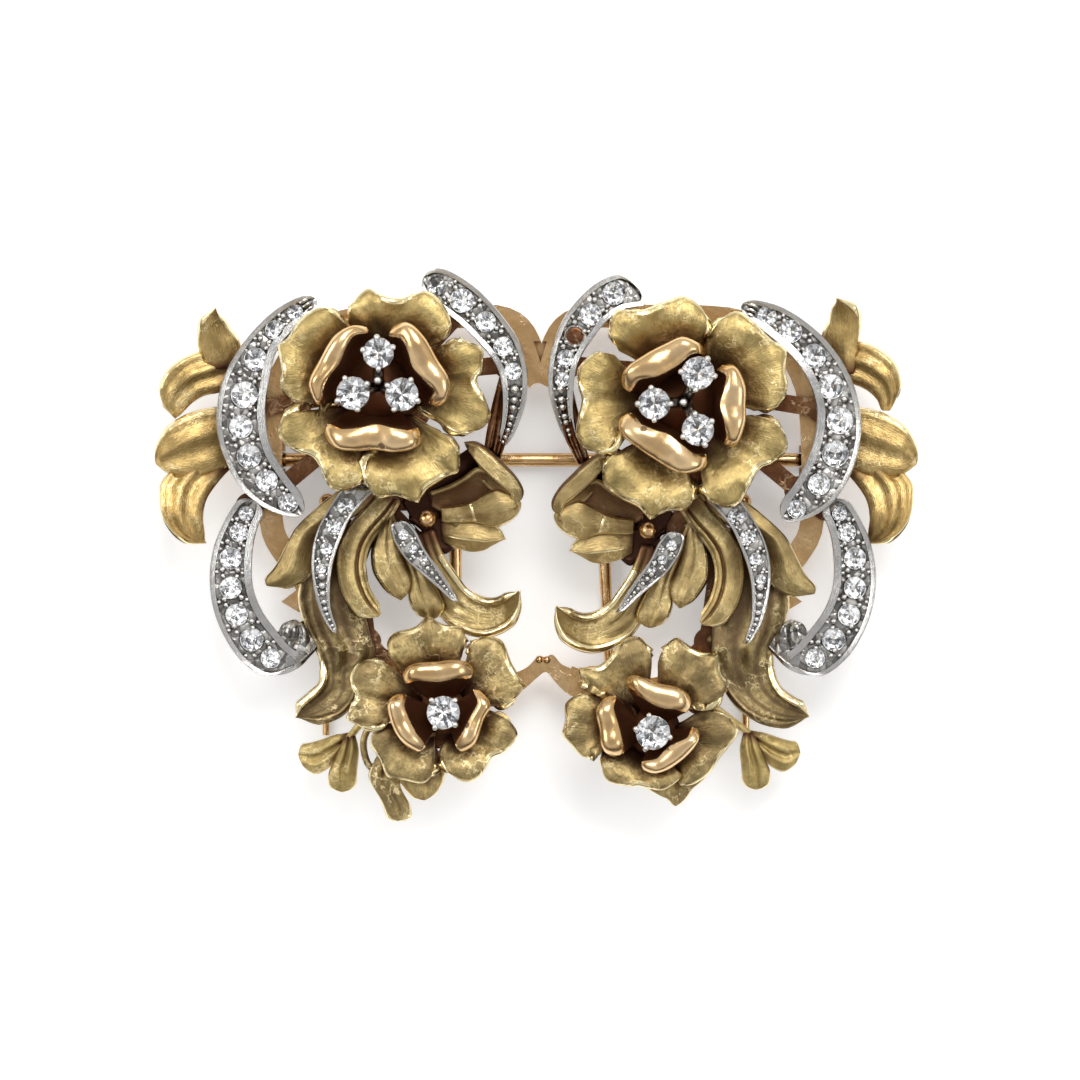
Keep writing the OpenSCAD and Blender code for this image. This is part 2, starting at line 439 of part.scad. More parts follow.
module bell_flower(side) color(satin_gold) on_side(side, [0, -1.0]) fused() {
    leaf(bell_lip, 0.3, 1, bell_t);
    leaf(bell_fold, 0.5, 1, 0.35);
    leaf(bell_front, 0.5, 1, bell_t);
    leaf(bell_wall, 0.5, 1, bell_t);
    leaf(bell_back, 0.5, 1, bell_t);
    leaf(bell_leaf, 0.62, 1, bell_t);
    translate(bell_bead) sphere(r = 0.75, $fn = 8);
    rod(bell_bead, bell_root, 0.3, 0.35, mesh_fn);
    post([-6.8, 1.9], 5.5, 1.1, 0.6, mesh_fn);
    feet([[-5.4, 4.2, 6.6]]);
}

// Bud on its stem
bud_back = [[-16.0, -16.2, -16.2, -17.2, 5.4, 5.3, 0.2], [-17.2, -16.3, -16.9, -18.2, 5.5, 5.3, 0.5],
    [-18.4, -16.7, -17.8, -19.2, 5.5, 5.3, 0.6], [-19.4, -17.0, -18.9, -19.7, 5.5, 5.3, 0.5],
    [-20.1, -17.2, -19.9, -19.1, 5.5, 5.4, 0.3], [-20.4, -17.8, -20.3, -18.4, 5.5, 5.5, 0]];
bud_front = [[-16.5, -16.6, -15.5, -16.4, 6.0, 6.0, 0.3], [-17.2, -18.2, -15.2, -17.6, 6.0, 6.0, 0.6],
    [-17.8, -19.6, -15.3, -19.0, 6.0, 6.0, 0.6], [-17.7, -20.6, -15.5, -20.5, 6.0, 6.0, 0.3],
    [-17.1, -21.15, -16.2, -21.2, 6.0, 6.0, 0]];
bud_stem = [[-13.4, -13.5, 6.2], [-14.6, -14.8, 6.1], [-16.2, -16.8, 5.8]];
bud_stem_right = [[-12.0, -13.4, 6.2], [-13.9, -14.8, 6.1], [-16.0, -16.4, 5.8]];
module bud_spray(side) color(satin_gold) on_side(side, [2.0, 0.2]) fused() {
    stem = side == "left" ? bud_stem : bud_stem_right;
    leaf(bud_back, 0.5, 1);
    leaf(bud_front, 0.5, 1);
    for (i = [0 : len(stem) - 2]) rod(stem[i], stem[i + 1], 0.32, 0.32, mesh_fn);
    translate(stem[1]) sphere(r = 0.36, $fn = mesh_fn);
    feet([[stem[0][0], stem[0][1], 6.2]]);
}

// Diamond set ribbons and their stones; columns of a stone: x, y, width, rim z
outer_ribbon_rows = [[-19.3, 21.4, -18.3, 20.0, 9.8], [-22.2, 19.9, -20.7, 18.15, 10.1],
    [-24.8, 17.3, -22.2, 16.2, 10.35], [-26.7, 14.0, -22.85, 13.5, 10.4],
    [-27.3, 10.4, -23.1, 10.6, 10.4], [-26.6, 7.2, -22.5, 7.8, 10.4], [-24.7, 4.1, -20.9, 5.3, 10.4],
    [-20.8, 1.5, -19.2, 3.4, 10.2]];
outer_ribbon_rows_right = [[-17.4, 20.9, -17.2, 19.3, 9.8], [-20.8, 20.05, -19.7, 17.6, 10.1],
    [-24.1, 17.7, -22.0, 15.4, 10.35], [-26.5, 14.3, -23.3, 13.1, 10.4],
    [-27.5, 10.6, -23.75, 10.6, 10.4], [-27.1, 7.1, -23.1, 7.5, 10.4], [-25.3, 3.7, -21.4, 4.5, 10.4],
    [-21.9, 1.1, -19.9, 2.9, 10.2]];
outer_stones = [[-20.6, 19.6, 1.3, 10.0], [-22.3, 18.1, 1.6, 10.2], [-23.95, 15.6, 1.9, 10.35],
    [-24.9, 12.6, 2.2, 10.4], [-25.2, 9.9, 1.9, 10.4], [-24.5, 7.4, 2.0, 10.4],
    [-23.0, 5.3, 1.8, 10.4], [-21.2, 3.4, 1.6, 10.25]];
outer_stones_right = [[-19.5, 19.3, 1.6, 10.0], [-21.5, 18.0, 1.9, 10.2], [-23.5, 15.9, 2.0, 10.35],
    [-24.9, 13.3, 2.1, 10.4], [-25.7, 10.4, 2.2, 10.4], [-25.3, 7.6, 2.2, 10.4],
    [-23.9, 5.0, 1.8, 10.4], [-22.0, 2.9, 1.5, 10.25]];
top_ribbon_rows = [[-9.3, 23.5, -10.2, 21.5, 9.8], [-7.4, 23.1, -8.7, 20.2, 10.15],
    [-5.0, 21.5, -6.6, 18.6, 10.35], [-3.0, 19.3, -4.9, 16.9, 10.4], [-1.6, 17.2, -3.9, 15.7, 10.4],
    [-0.9, 14.8, -3.2, 14.3, 10.25], [-0.95, 12.2, -3.0, 12.4, 9.7], [-1.7, 9.8, -3.1, 10.2, 8.95],
    [-2.8, 7.9, -3.5, 8.4, 8.2]];
top_ribbon_rows_right = [[-7.4, 23.0, -9.8, 20.15, 9.8], [-5.7, 22.5, -7.6, 19.9, 10.15],
    [-4.1, 21.4, -6.0, 18.95, 10.35], [-2.5, 19.55, -4.8, 17.5, 10.4], [-1.5, 17.5, -3.9, 16.2, 10.4],
    [-0.95, 15.2, -3.3, 14.8, 10.25], [-0.95, 12.8, -3.05, 12.9, 9.7], [-1.6, 10.4, -3.1, 10.7, 8.95],
    [-2.6, 8.2, -3.4, 8.6, 8.2]];
top_stones = [[-8.6, 21.8, 1.5, 10.05], [-6.4, 20.6, 2.0, 10.3], [-4.4, 18.8, 1.7, 10.4],
    [-2.9, 16.7, 1.6, 10.4], [-2.1, 14.6, 1.4, 10.2]];
top_stones_right = [[-6.5, 21.2, 1.9, 10.25], [-4.5, 19.4, 1.8, 10.4], [-2.4, 15.7, 1.4, 10.3],
    [-2.1, 13.9, 1.2, 10.0]];
empty_seat = [-3.2, 17.6, 0.9];
lower_ribbon_rows = [[-25.2, 4.2, -23.0, 3.0, 8.1], [-26.6, 2.0, -23.85, 1.2, 8.1],
    [-27.65, -0.7, -24.25, -1.0, 8.1], [-27.9, -3.6, -24.2, -3.6, 8.1],
    [-27.3, -6.6, -23.4, -5.8, 8.0], [-25.7, -9.5, -21.9, -7.8, 7.85],
    [-23.6, -11.25, -20.7, -9.0, 7.7], [-21.8, -11.5, -19.5, -9.0, 7.6]];
ribbon_tail = [[-22.4, -8.4, -19.4, -9.4, 7.4, 7.2, 0.2], [-22.1, -7.6, -19.3, -8.4, 7.4, 7.1, 0.4],
    [-21.7, -6.9, -19.5, -7.4, 7.3, 7.0, 0.4], [-21.0, -6.45, -20.2, -6.55, 7.0, 6.9, 0.1]];
lower_stones = [[-24.8, 2.5, 1.2, 8.1], [-25.4, 0.9, 1.5, 8.1], [-26.1, -1.3, 1.8, 8.1],
    [-26.1, -3.8, 1.8, 8.1], [-25.6, -6.1, 1.8, 8.0], [-24.3, -8.2, 1.9, 7.9], [-22.7, -9.8, 1.6, 7.8]];
middle_ribbon_rows = [[-16.4, 4.9, -13.4, 4.8, 9.6], [-17.6, 3.2, -14.6, 3.7, 9.5],
    [-18.6, 1.4, -15.8, 2.3, 9.4], [-19.1, -0.2, -16.6, 0.6, 9.3], [-19.25, -2.0, -17.3, -1.4, 9.2],
    [-19.0, -4.0, -17.6, -3.4, 9.1], [-18.4, -6.0, -17.55, -5.6, 9.0], [-17.3, -7.9, -16.9, -7.5, 8.9]];
small_ribbon_rows = [[-12.6, 1.7, -11.2, 2.0, 9.2], [-12.2, 0.2, -10.3, 1.0, 9.0],
    [-11.2, -1.4, -9.6, -0.4, 8.8], [-10.0, -2.5, -8.8, -1.6, 8.5], [-8.6, -3.7, -7.9, -2.9, 8.2],
    [-7.4, -4.8, -7.1, -4.2, 7.9], [-6.7, -5.15, -6.6, -4.85, 7.7]];
middle_stones = [[-16.3, 3.1, 1.4, 9.45], [-17.3, 1.4, 1.3, 9.4], [-17.95, -0.5, 1.0, 9.3],
    [-18.4, -2.2, 0.8, 9.2]];
small_stones = [[-11.4, 0.7, 0.8, 9.05], [-10.6, -0.5, 0.7, 8.85], [-9.7, -1.4, 0.6, 8.65]];
set_depth = 0.18;
module outer_ribbon(side) color(platinum) on_side(side) fused() {
    ribbon(side == "left" ? outer_ribbon_rows : outer_ribbon_rows_right, ribbon_h);
    feet([[-24.2, 11.4, 9.0], [side == "left" ? -22.1 : -21.3, 17.5, 8.7],
    [side == "left" ? -21.9 : -22.6, 4.5, 9.0]]);
}

module outer_ribbon_stones(side) color(diamond) on_side(side) {
    for (s = side == "left" ? outer_stones : outer_stones_right) stone(s[0], s[1], s[3] - set_depth, s[2]);
}

module top_ribbon(side) color(platinum) on_side(side) fused() {
    difference() {
        ribbon(side == "left" ? top_ribbon_rows : top_ribbon_rows_right, ribbon_h);
        if (side == "right") post(empty_seat, 5, 8, empty_seat[2], 12);
    }
    feet([[side == "left" ? -6.5 : -5.9, 20.1, 8.9], [-2.6, 15.2, 8.9]]);
}

module top_ribbon_stones(side) color(diamond) on_side(side) {
    for (s = side == "left" ? top_stones : top_stones_right) stone(s[0], s[1], s[3] - set_depth, s[2]);
}

module lower_ribbon(side) color(platinum) on_side(side, [0.9, 0]) fused() {
    ribbon(lower_ribbon_rows, ribbon_h);
    leaf(ribbon_tail, 0.5, 1, 0.7);
    feet([[-24.1, 3.1, 6.8], [-20.4, -8.2, 6.4]]);
}

module lower_ribbon_stones(side) color(diamond) on_side(side, [0.9, 0]) {
    for (s = lower_stones) stone(s[0], s[1], s[3] - set_depth, s[2]);
}

module middle_ribbon(side) color(platinum) on_side(side, [0.6, -0.9]) fused() {
    ribbon(middle_ribbon_rows, 1.3, 0.35, 0.7, 1);
    feet([[middle_foot[0], middle_foot[1], 8.8]]);
}

module small_ribbon(side) color(platinum) on_side(side, [0, -0.9]) fused() {
    ribbon(small_ribbon_rows, 1.2, 0.3, 0.55, 1);
    feet([[-10.9, 1.15, 8.3]]);
}

module inner_ribbon_stones(side) color(diamond) {
    on_side(side, [0.6, -0.9]) for (s = middle_stones) stone(s[0], s[1], s[3] - set_depth, s[2]);
    on_side(side, [0, -0.9]) for (s = small_stones) stone(s[0], s[1], s[3] - set_depth, s[2]);
}

// Big flower: five outer petals, three rolled petals and three claw set stones
big_centre = [-13.5, 13.3];
big_centre_right = [-12.5, 12.0];
big_petals = [
    [[-16.1, 18.7, 11.6], [-15.8, 20.2, 12.2], [-14.4, 21.6, 12.4], [-12.9, 20.6, 12.0],
    [-11.4, 20.5, 12.1], [-9.6, 21.4, 12.6], [-8.1, 20.4, 12.5], [-7.4, 18.7, 12.1],
    [-8.4, 16.9, 11.6]],
    [[-16.2, 18.6, 12.0], [-18.2, 20.0, 12.5], [-20.0, 19.1, 12.5], [-21.2, 17.3, 12.1],
    [-22.0, 16.7, 12.3], [-21.5, 14.8, 12.5], [-21.8, 13.1, 12.4], [-20.6, 12.1, 12.0],
    [-18.8, 11.8, 11.6]],
    [[-19.4, 11.3, 11.9], [-21.4, 10.9, 12.5], [-22.0, 9.3, 12.6], [-21.0, 8.1, 12.3],
    [-19.0, 7.7, 12.1], [-18.1, 6.3, 12.3], [-17.8, 4.9, 12.5], [-16.5, 4.4, 12.5],
    [-15.1, 5.2, 12.2], [-14.7, 6.8, 11.8]],
    [[-14.2, 7.4, 11.7], [-14.7, 5.7, 12.2], [-13.7, 3.9, 12.4], [-12.0, 4.1, 12.2],
    [-10.2, 3.45, 12.5], [-9.6, 4.7, 12.3], [-8.0, 5.7, 12.2], [-6.7, 6.1, 12.5], [-6.8, 7.9, 12.3],
    [-8.3, 9.6, 11.7]],
    [[-8.4, 16.7, 11.7], [-6.6, 17.2, 12.3], [-4.8, 16.6, 12.5], [-4.7, 15.2, 12.2],
    [-5.5, 13.9, 12.0], [-4.9, 12.6, 12.3], [-4.0, 11.1, 12.5], [-4.6, 9.8, 12.3],
    [-6.4, 9.4, 12.1], [-8.2, 10.2, 11.7]]];
big_petals_right = [
    [[-6.9, 16.3, 11.6], [-6.05, 18.2, 12.2], [-6.8, 19.8, 12.5], [-8.9, 19.5, 12.1],
    [-10.4, 20.1, 12.2], [-12.3, 20.95, 12.6], [-13.9, 20.0, 12.5], [-14.4, 18.5, 12.1],
    [-13.9, 17.0, 11.6]],
    [[-14.3, 17.2, 11.6], [-15.3, 18.7, 12.1], [-16.9, 19.7, 12.5], [-18.3, 18.7, 12.4],
    [-19.6, 17.3, 12.1], [-21.1, 16.4, 12.4], [-20.95, 14.8, 12.2], [-21.2, 12.9, 12.4],
    [-20.2, 11.6, 12.2], [-18.4, 11.2, 11.7]],
    [[-18.2, 10.9, 11.8], [-20.4, 10.1, 12.5], [-21.25, 8.4, 12.6], [-20.5, 7.2, 12.3],
    [-18.7, 6.6, 12.0], [-17.8, 5.0, 12.3], [-17.2, 3.5, 12.5], [-15.9, 3.0, 12.5],
    [-14.4, 4.0, 12.2], [-13.9, 5.6, 11.8]],
    [[-13.0, 5.8, 11.7], [-13.15, 4.0, 12.2], [-12.7, 2.85, 12.4], [-11.0, 2.85, 12.2],
    [-9.6, 2.05, 12.5], [-8.6, 3.3, 12.2], [-7.0, 3.95, 12.2], [-5.6, 5.1, 12.5], [-5.8, 6.8, 12.3],
    [-7.4, 8.1, 11.7]],
    [[-6.5, 16.0, 11.8], [-5.0, 16.15, 12.3], [-3.7, 15.2, 12.5], [-3.4, 14.0, 12.3],
    [-4.1, 12.2, 12.0], [-3.6, 10.5, 12.3], [-3.3, 9.2, 12.5], [-4.2, 7.9, 12.4], [-5.8, 7.9, 12.1],
    [-6.9, 9.0, 11.8]]];
big_rolls = [
    [[-14.2, 18.0, -14.5, 18.2, 14.0], [-15.5, 17.6, -15.8, 18.4, 14.8],
    [-16.2, 16.6, -17.3, 17.5, 15.2], [-16.8, 15.2, -18.5, 15.5, 15.0],
    [-17.8, 13.9, -19.4, 13.6, 15.1], [-18.2, 12.6, -18.9, 12.1, 14.6],
    [-18.1, 11.9, -18.3, 11.7, 14.0]],
    [[-12.7, 17.8, -12.4, 18.1, 14.0], [-11.6, 17.3, -11.0, 18.7, 14.8],
    [-11.0, 16.2, -9.6, 17.5, 15.2], [-10.6, 14.9, -8.5, 15.6, 15.0],
    [-9.6, 13.8, -7.5, 13.9, 15.1], [-8.8, 12.8, -7.7, 12.2, 14.7], [-9.0, 11.9, -9.0, 11.5, 14.0]],
    [[-17.9, 9.9, -18.1, 9.6, 14.0], [-16.6, 9.7, -17.1, 8.1, 14.9], [-15.1, 9.8, -15.5, 7.8, 15.1],
    [-13.7, 10.1, -13.8, 7.9, 14.8], [-12.3, 9.8, -12.1, 7.7, 15.1], [-11.0, 9.6, -10.4, 8.1, 14.9],
    [-10.1, 9.6, -9.8, 9.2, 14.0]]];
big_rolls_right = [
    [[-7.7, 13.0, -7.3, 12.9, 14.0], [-8.6, 13.8, -7.4, 14.7, 14.9],
    [-10.2, 14.15, -9.1, 16.0, 15.2], [-11.7, 14.9, -10.8, 16.9, 15.0],
    [-12.9, 15.9, -12.3, 17.5, 15.1], [-13.6, 16.1, -13.6, 17.0, 14.7],
    [-14.0, 16.1, -14.2, 16.4, 14.0]],
    [[-15.4, 14.85, -15.4, 15.0, 14.0], [-15.95, 14.2, -16.8, 14.95, 14.9],
    [-15.8, 13.1, -17.6, 13.4, 15.2], [-15.45, 11.7, -17.65, 11.8, 15.0],
    [-15.8, 10.3, -17.6, 10.2, 15.1], [-16.0, 9.1, -17.1, 8.7, 14.7], [-16.1, 8.4, -16.2, 8.05, 14.0]],
    [[-7.6, 10.9, -7.35, 11.0, 14.0], [-8.8, 10.1, -7.1, 9.3, 14.9], [-10.0, 9.6, -8.7, 7.9, 15.2],
    [-11.2, 9.2, -10.4, 6.8, 15.0], [-12.3, 8.3, -12.0, 5.95, 15.1],
    [-13.4, 7.55, -13.6, 6.1, 14.7], [-14.3, 7.3, -14.45, 7.0, 14.0]]];
big_gems = [[-13.5, 16.1, 2.6, 21, 95, 169, 270], [-15.65, 12.7, 2.8, 34, 118, 206, 286],
    [-11.5, 12.6, 2.8, 58, 148, 242, 338]];
big_gems_right = [[-13.6, 14.4, 2.8, 5, 124, 191, 278], [-9.9, 11.8, 2.7, 0, 79, 180, 270],
    [-13.6, 9.6, 2.7, 80, 148, 245, 335]];
big_root_r = 3.7;
big_hub_z = 9.6;
gem_z = 14.6;
function centre_of(side) = side == "left" ? big_centre : big_centre_right;
module flower_petals(rows, c, root_r, hub_z, fan_share) {
    for (p = rows) petal(p, c, root_r - 0.5, hub_z, fan_share);
    translate([c[0], c[1], hub_z - leaf_t]) cylinder(h = leaf_t, r = root_r, $fn = 16);
    translate([c[0], c[1], foot_z]) cylinder(h = hub_z - 0.3 - foot_z, r = 1.1, $fn = 8);
}

module inner_petals(rows, c, base_r, base_z) {
    for (p = rows) roll(p, c, base_r, base_z);
    translate([c[0], c[1], base_z]) rotate([0, 0, 7]) difference() {
        cylinder(h = 0.6, r = base_r + 0.8, $fn = 16);
        translate([0, 0, -1]) cylinder(h = 3, r = base_r * 0.64, $fn = 12);
    }
}

// A claw setting: columns of a gem are x, y, width and the angles of its four claws
claw_r = 0.16;
claw_h = 1.7;
function around(g, r, a) = [g[0], g[1]] + r * polar(a);
module collet(g, z) {
    seat_r = g[2] / 2;
    claws = [g[3], g[4], g[5], g[6]];
    difference() {
        rod([g[0], g[1], z - 1.9], [g[0], g[1], z - 0.4], seat_r * 0.5, seat_r * 0.86);
        rod([g[0], g[1], z - 1.3], [g[0], g[1], z + 0.3], 0.3, seat_r * 1.02);
    }
    for (a = claws) {
        place = around(g, seat_r + 0.2, a);
        post(place, z - 1.5, claw_h, claw_r);
        translate([place[0], place[1], z - 1.5 + claw_h]) sphere(r = claw_r, $fn = round_fn);
        bar(around(g, 0.25, a), place, 0.3, z - 1.9, 0.45);
    }
}

module big_flower_petals(side) color(satin_gold) on_side(side) fused()
    flower_petals(side == "left" ? big_petals : big_petals_right,
        centre_of(side), big_root_r, big_hub_z, 0.62);
module big_flower_inner_petals(side) color(polished_gold) on_side(side) fused()
    inner_petals(side == "left" ? big_rolls : big_rolls_right, centre_of(side), 2.5, big_hub_z + foot_gap);
module big_flower_setting(side) color(platinum) on_side(side) {
    c = centre_of(side);
    for (g = side == "left" ? big_gems : big_gems_right) {
        collet(g, gem_z);
        rod([c[0], c[1], big_hub_z + 1.6], [g[0], g[1], gem_z - 1.7], 0.5, 0.45);
    }
    post(c, big_hub_z + foot_gap, 1.9, 0.75);
}

module big_stone(side, i) color(diamond) on_side(side) {
    g = (side == "left" ? big_gems : big_gems_right)[i];
    stone(g[0], g[1], gem_z, g[2]);
}

// Small flower
small_centre = [-8, -14.3];
small_centre_right = [-9.7, -16.0];
small_petals = [
    [[-11.9, -10.6, 9.7], [-12.8, -8.8, 10.3], [-12.2, -7.7, 10.5], [-10.4, -7.4, 10.3],
    [-9.3, -6.2, 10.7], [-8.0, -7.1, 10.3], [-6.4, -7.1, 10.4], [-6.2, -8.3, 10.1], [-6.4, -9.6, 9.7]],
    [[-5.9, -9.8, 9.7], [-5.7, -8.7, 10.2], [-4.4, -7.9, 10.5], [-2.9, -8.5, 10.4],
    [-2.5, -10.2, 10.2], [-1.6, -11.6, 10.4], [-1.1, -12.2, 10.4], [-2.2, -13.4, 10.1],
    [-3.9, -13.9, 9.7]],
    [[-4.0, -14.2, 9.7], [-2.4, -15.1, 10.3], [-1.7, -16.3, 10.5], [-2.6, -17.5, 10.3],
    [-4.1, -18.0, 10.1], [-4.9, -19.8, 10.4], [-6.3, -20.3, 10.4], [-7.7, -19.3, 10.1],
    [-8.4, -17.8, 9.7]],
    [[-8.7, -18.2, 9.4], [-8.9, -19.5, 9.9], [-9.7, -20.4, 10.2], [-11.4, -20.1, 10.0],
    [-12.8, -19.8, 10.1], [-13.3, -18.3, 9.9], [-14.2, -17.1, 10.2], [-13.9, -16.0, 10.0],
    [-12.7, -15.3, 9.5]],
    [[-12.5, -14.9, 9.6], [-14.2, -15.6, 10.3], [-16.1, -15.1, 10.5], [-15.9, -14.1, 10.3],
    [-15.2, -13.0, 10.1], [-15.9, -11.5, 10.4], [-15.1, -10.1, 10.4], [-13.5, -10.0, 10.1],
    [-12.3, -10.5, 9.7]]];
small_petals_right = [
    [[-9.7, -10.6, 9.7], [-9.6, -9.4, 10.2], [-8.7, -8.0, 10.5], [-7.3, -8.3, 10.4],
    [-6.4, -9.7, 10.1], [-5.3, -10.7, 10.2], [-3.6, -10.6, 10.5], [-3.7, -11.6, 10.2],
    [-5.6, -12.7, 9.7]],
    [[-5.2, -12.9, 9.7], [-3.6, -12.85, 10.3], [-2.4, -13.6, 10.5], [-2.5, -15.0, 10.3],
    [-2.15, -16.3, 10.4], [-2.9, -17.2, 10.3], [-3.9, -18.2, 10.4], [-5.0, -17.7, 10.0],
    [-5.4, -17.2, 9.7]],
    [[-5.5, -17.6, 9.7], [-5.4, -18.9, 10.1], [-5.9, -20.2, 10.4], [-7.4, -20.55, 10.3],
    [-8.8, -20.3, 10.1], [-10.3, -21.0, 10.3], [-11.4, -20.6, 10.1], [-12.4, -19.7, 9.7]],
    [[-12.0, -20.6, 9.3], [-13.3, -20.4, 9.8], [-14.6, -19.5, 10.1], [-15.3, -18.2, 10.0],
    [-15.8, -17.5, 10.0], [-16.9, -16.4, 10.4], [-16.8, -15.3, 10.4], [-15.7, -14.5, 10.2],
    [-14.0, -14.1, 9.7]],
    [[-13.4, -13.8, 9.7], [-15.2, -13.4, 10.1], [-16.25, -12.2, 10.4], [-15.5, -11.0, 10.2],
    [-15.3, -9.5, 10.5], [-13.8, -9.4, 10.3], [-12.8, -8.9, 10.2], [-11.8, -8.05, 10.5],
    [-10.7, -8.9, 10.2], [-10.2, -10.2, 9.7]]];
small_leaflets = [
    [[-13.2, -17.6, -11.2, -17.8, 8.6, 8.6, 0.2], [-14.3, -19.8, -11.8, -20.2, 8.6, 8.6, 0.3],
    [-13.3, -21.9, -10.9, -22.2, 8.6, 8.6, 0.3], [-12.6, -23.2, -11.0, -23.2, 8.7, 8.7, 0.1],
    [-12.1, -23.6, -11.7, -23.6, 8.8, 8.8, 0]],
    [[-11.4, -17.8, -8.6, -17.6, 8.5, 8.5, 0.2], [-11.9, -19.6, -8.0, -19.4, 8.5, 8.5, 0.3],
    [-11.2, -20.9, -8.1, -20.4, 8.5, 8.5, 0.3], [-10.5, -21.6, -8.6, -21.2, 8.5, 8.5, 0.2],
    [-9.9, -21.9, -9.3, -21.8, 8.5, 8.5, 0]]];
small_leaflets_right = [
    [[-14.0, -18.0, -10.4, -18.4, 8.6, 8.6, 0.2], [-14.2, -19.9, -9.4, -20.6, 8.6, 8.6, 0.3],
    [-13.2, -20.9, -10.2, -21.4, 8.6, 8.6, 0.3], [-12.6, -21.7, -11.1, -21.8, 8.6, 8.6, 0.2],
    [-12.0, -22.3, -11.5, -22.35, 8.7, 8.7, 0]]];
side_stem = [[-13.6, -14.6, 8.6], [-14.75, -16.6, 8.4], [-14.5, -18.6, 8.3], [-13.5, -19.6, 8.3]];
small_rolls = [
    [[-11.3, -11.7, -11.5, -11.4, 11.6], [-10.2, -11.7, -10.6, -10.3, 12.3],
    [-8.4, -11.8, -8.4, -10.05, 12.2], [-6.9, -11.5, -6.6, -9.95, 12.3],
    [-5.6, -11.3, -5.3, -10.8, 11.6]],
    [[-11.4, -12.9, -11.5, -12.7, 11.6], [-11.3, -13.8, -12.7, -13.6, 12.3],
    [-10.9, -14.9, -12.4, -15.4, 12.2], [-10.3, -16.1, -11.5, -16.9, 12.3],
    [-9.8, -17.1, -9.7, -18.1, 11.7]],
    [[-5.3, -12.5, -5.2, -12.3, 11.6], [-5.1, -13.5, -4.0, -13.7, 12.3],
    [-5.7, -14.7, -4.6, -15.1, 12.2], [-6.3, -15.9, -5.3, -17.0, 12.3],
    [-6.7, -17.0, -6.9, -18.0, 11.7]]];
small_rolls_right = [
    [[-7.7, -12.1, -7.5, -12.0, 11.6], [-8.8, -13.1, -8.4, -11.25, 12.3],
    [-10.2, -13.9, -10.3, -11.9, 12.2], [-11.7, -14.15, -12.2, -12.4, 12.3],
    [-12.9, -14.1, -13.1, -13.7, 11.6]],
    [[-6.4, -13.0, -6.2, -12.9, 11.6], [-6.5, -14.0, -5.0, -14.2, 12.3],
    [-6.9, -15.4, -5.25, -15.9, 12.2], [-7.2, -16.8, -5.5, -17.4, 12.3],
    [-7.1, -17.8, -6.8, -18.25, 11.7]],
    [[-13.3, -15.6, -13.5, -15.7, 11.6], [-12.7, -16.5, -13.6, -16.9, 12.3],
    [-11.2, -17.2, -12.2, -18.5, 12.2], [-10.1, -18.3, -10.3, -19.5, 12.3],
    [-8.9, -18.9, -8.7, -18.9, 11.7]]];
small_gems = [[-8, -14.4, 2.8, 47, 133, 240, 315]];
small_gems_right = [[-9.8, -16.1, 2.9, 12, 77, 195, 295]];
small_root_r = 2.5;
small_hub_z = 8.4;
small_gem_z = 12.0;
function small_centre_of(side) = side == "left" ? small_centre : small_centre_right;
module small_flower_petals(side) color(satin_gold) on_side(side) fused() {
    c = small_centre_of(side);
    flower_petals(side == "left" ? small_petals : small_petals_right, c, small_root_r, small_hub_z, 0.6);
    for (l = side == "left" ? small_leaflets : small_leaflets_right) leaf(l, 0.5, 1);
    rod([-11.5, -17.9, 8.1], [c[0], c[1], 7.9], 0.5, 0.5, mesh_fn);
    if (side == "left") for (i = [0 : len(side_stem) - 2])
        rod(side_stem[i], side_stem[i + 1], 0.3, 0.3, mesh_fn);
}

module small_flower_inner_petals(side) color(polished_gold) on_side(side) fused()
    inner_petals(side == "left" ? small_rolls : small_rolls_right,
        small_centre_of(side), 1.15, small_hub_z + petal_gap);
module small_flower_setting(side) color(platinum) on_side(side) {
    c = small_centre_of(side);
    for (g = side == "left" ? small_gems : small_gems_right) collet(g, small_gem_z);
    post(c, small_hub_z + foot_gap, small_gem_z - 1.6 - small_hub_z, 0.55);
}

module small_stone(side) color(diamond) on_side(side) {
    g = (side == "left" ? small_gems : small_gems_right)[0];
    stone(g[0], g[1], small_gem_z, g[2]);
}

brooch_frame();
pin_stem();
for (s = SIDES) {
    clip_base(s);
    clip_lever(s);
    upper_side_leaf(s);
    lower_side_leaf(s);
    leaf_spray(s);
    long_scroll(s);
    lower_scroll(s);
    bell_flower(s);
    bud_spray(s);
    outer_ribbon(s);
    top_ribbon(s);
    lower_ribbon(s);
    middle_ribbon(s);
    small_ribbon(s);
    outer_ribbon_stones(s);
    top_ribbon_stones(s);
    lower_ribbon_stones(s);
    inner_ribbon_stones(s);
    big_flower_petals(s);
    big_flower_inner_petals(s);
    big_flower_setting(s);
    big_stone(s, 0);
    big_stone(s, 1);
    big_stone(s, 2);
    small_flower_petals(s);
    small_flower_inner_petals(s);
    small_flower_setting(s);
    small_stone(s);
}
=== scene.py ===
import math
import bpy
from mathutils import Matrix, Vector


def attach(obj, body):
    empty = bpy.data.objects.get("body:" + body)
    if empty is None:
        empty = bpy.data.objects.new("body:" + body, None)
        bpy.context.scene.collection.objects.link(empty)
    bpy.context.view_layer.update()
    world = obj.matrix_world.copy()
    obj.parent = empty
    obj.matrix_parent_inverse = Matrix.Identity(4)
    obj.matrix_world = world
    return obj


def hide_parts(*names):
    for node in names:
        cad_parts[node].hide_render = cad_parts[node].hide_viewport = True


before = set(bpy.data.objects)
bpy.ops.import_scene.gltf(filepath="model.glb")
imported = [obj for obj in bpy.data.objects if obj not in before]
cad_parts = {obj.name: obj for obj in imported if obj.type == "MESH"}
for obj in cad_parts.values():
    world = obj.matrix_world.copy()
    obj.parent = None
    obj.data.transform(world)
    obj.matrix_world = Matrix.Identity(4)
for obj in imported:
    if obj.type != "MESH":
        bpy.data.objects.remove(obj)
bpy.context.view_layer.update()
mm = 0.001
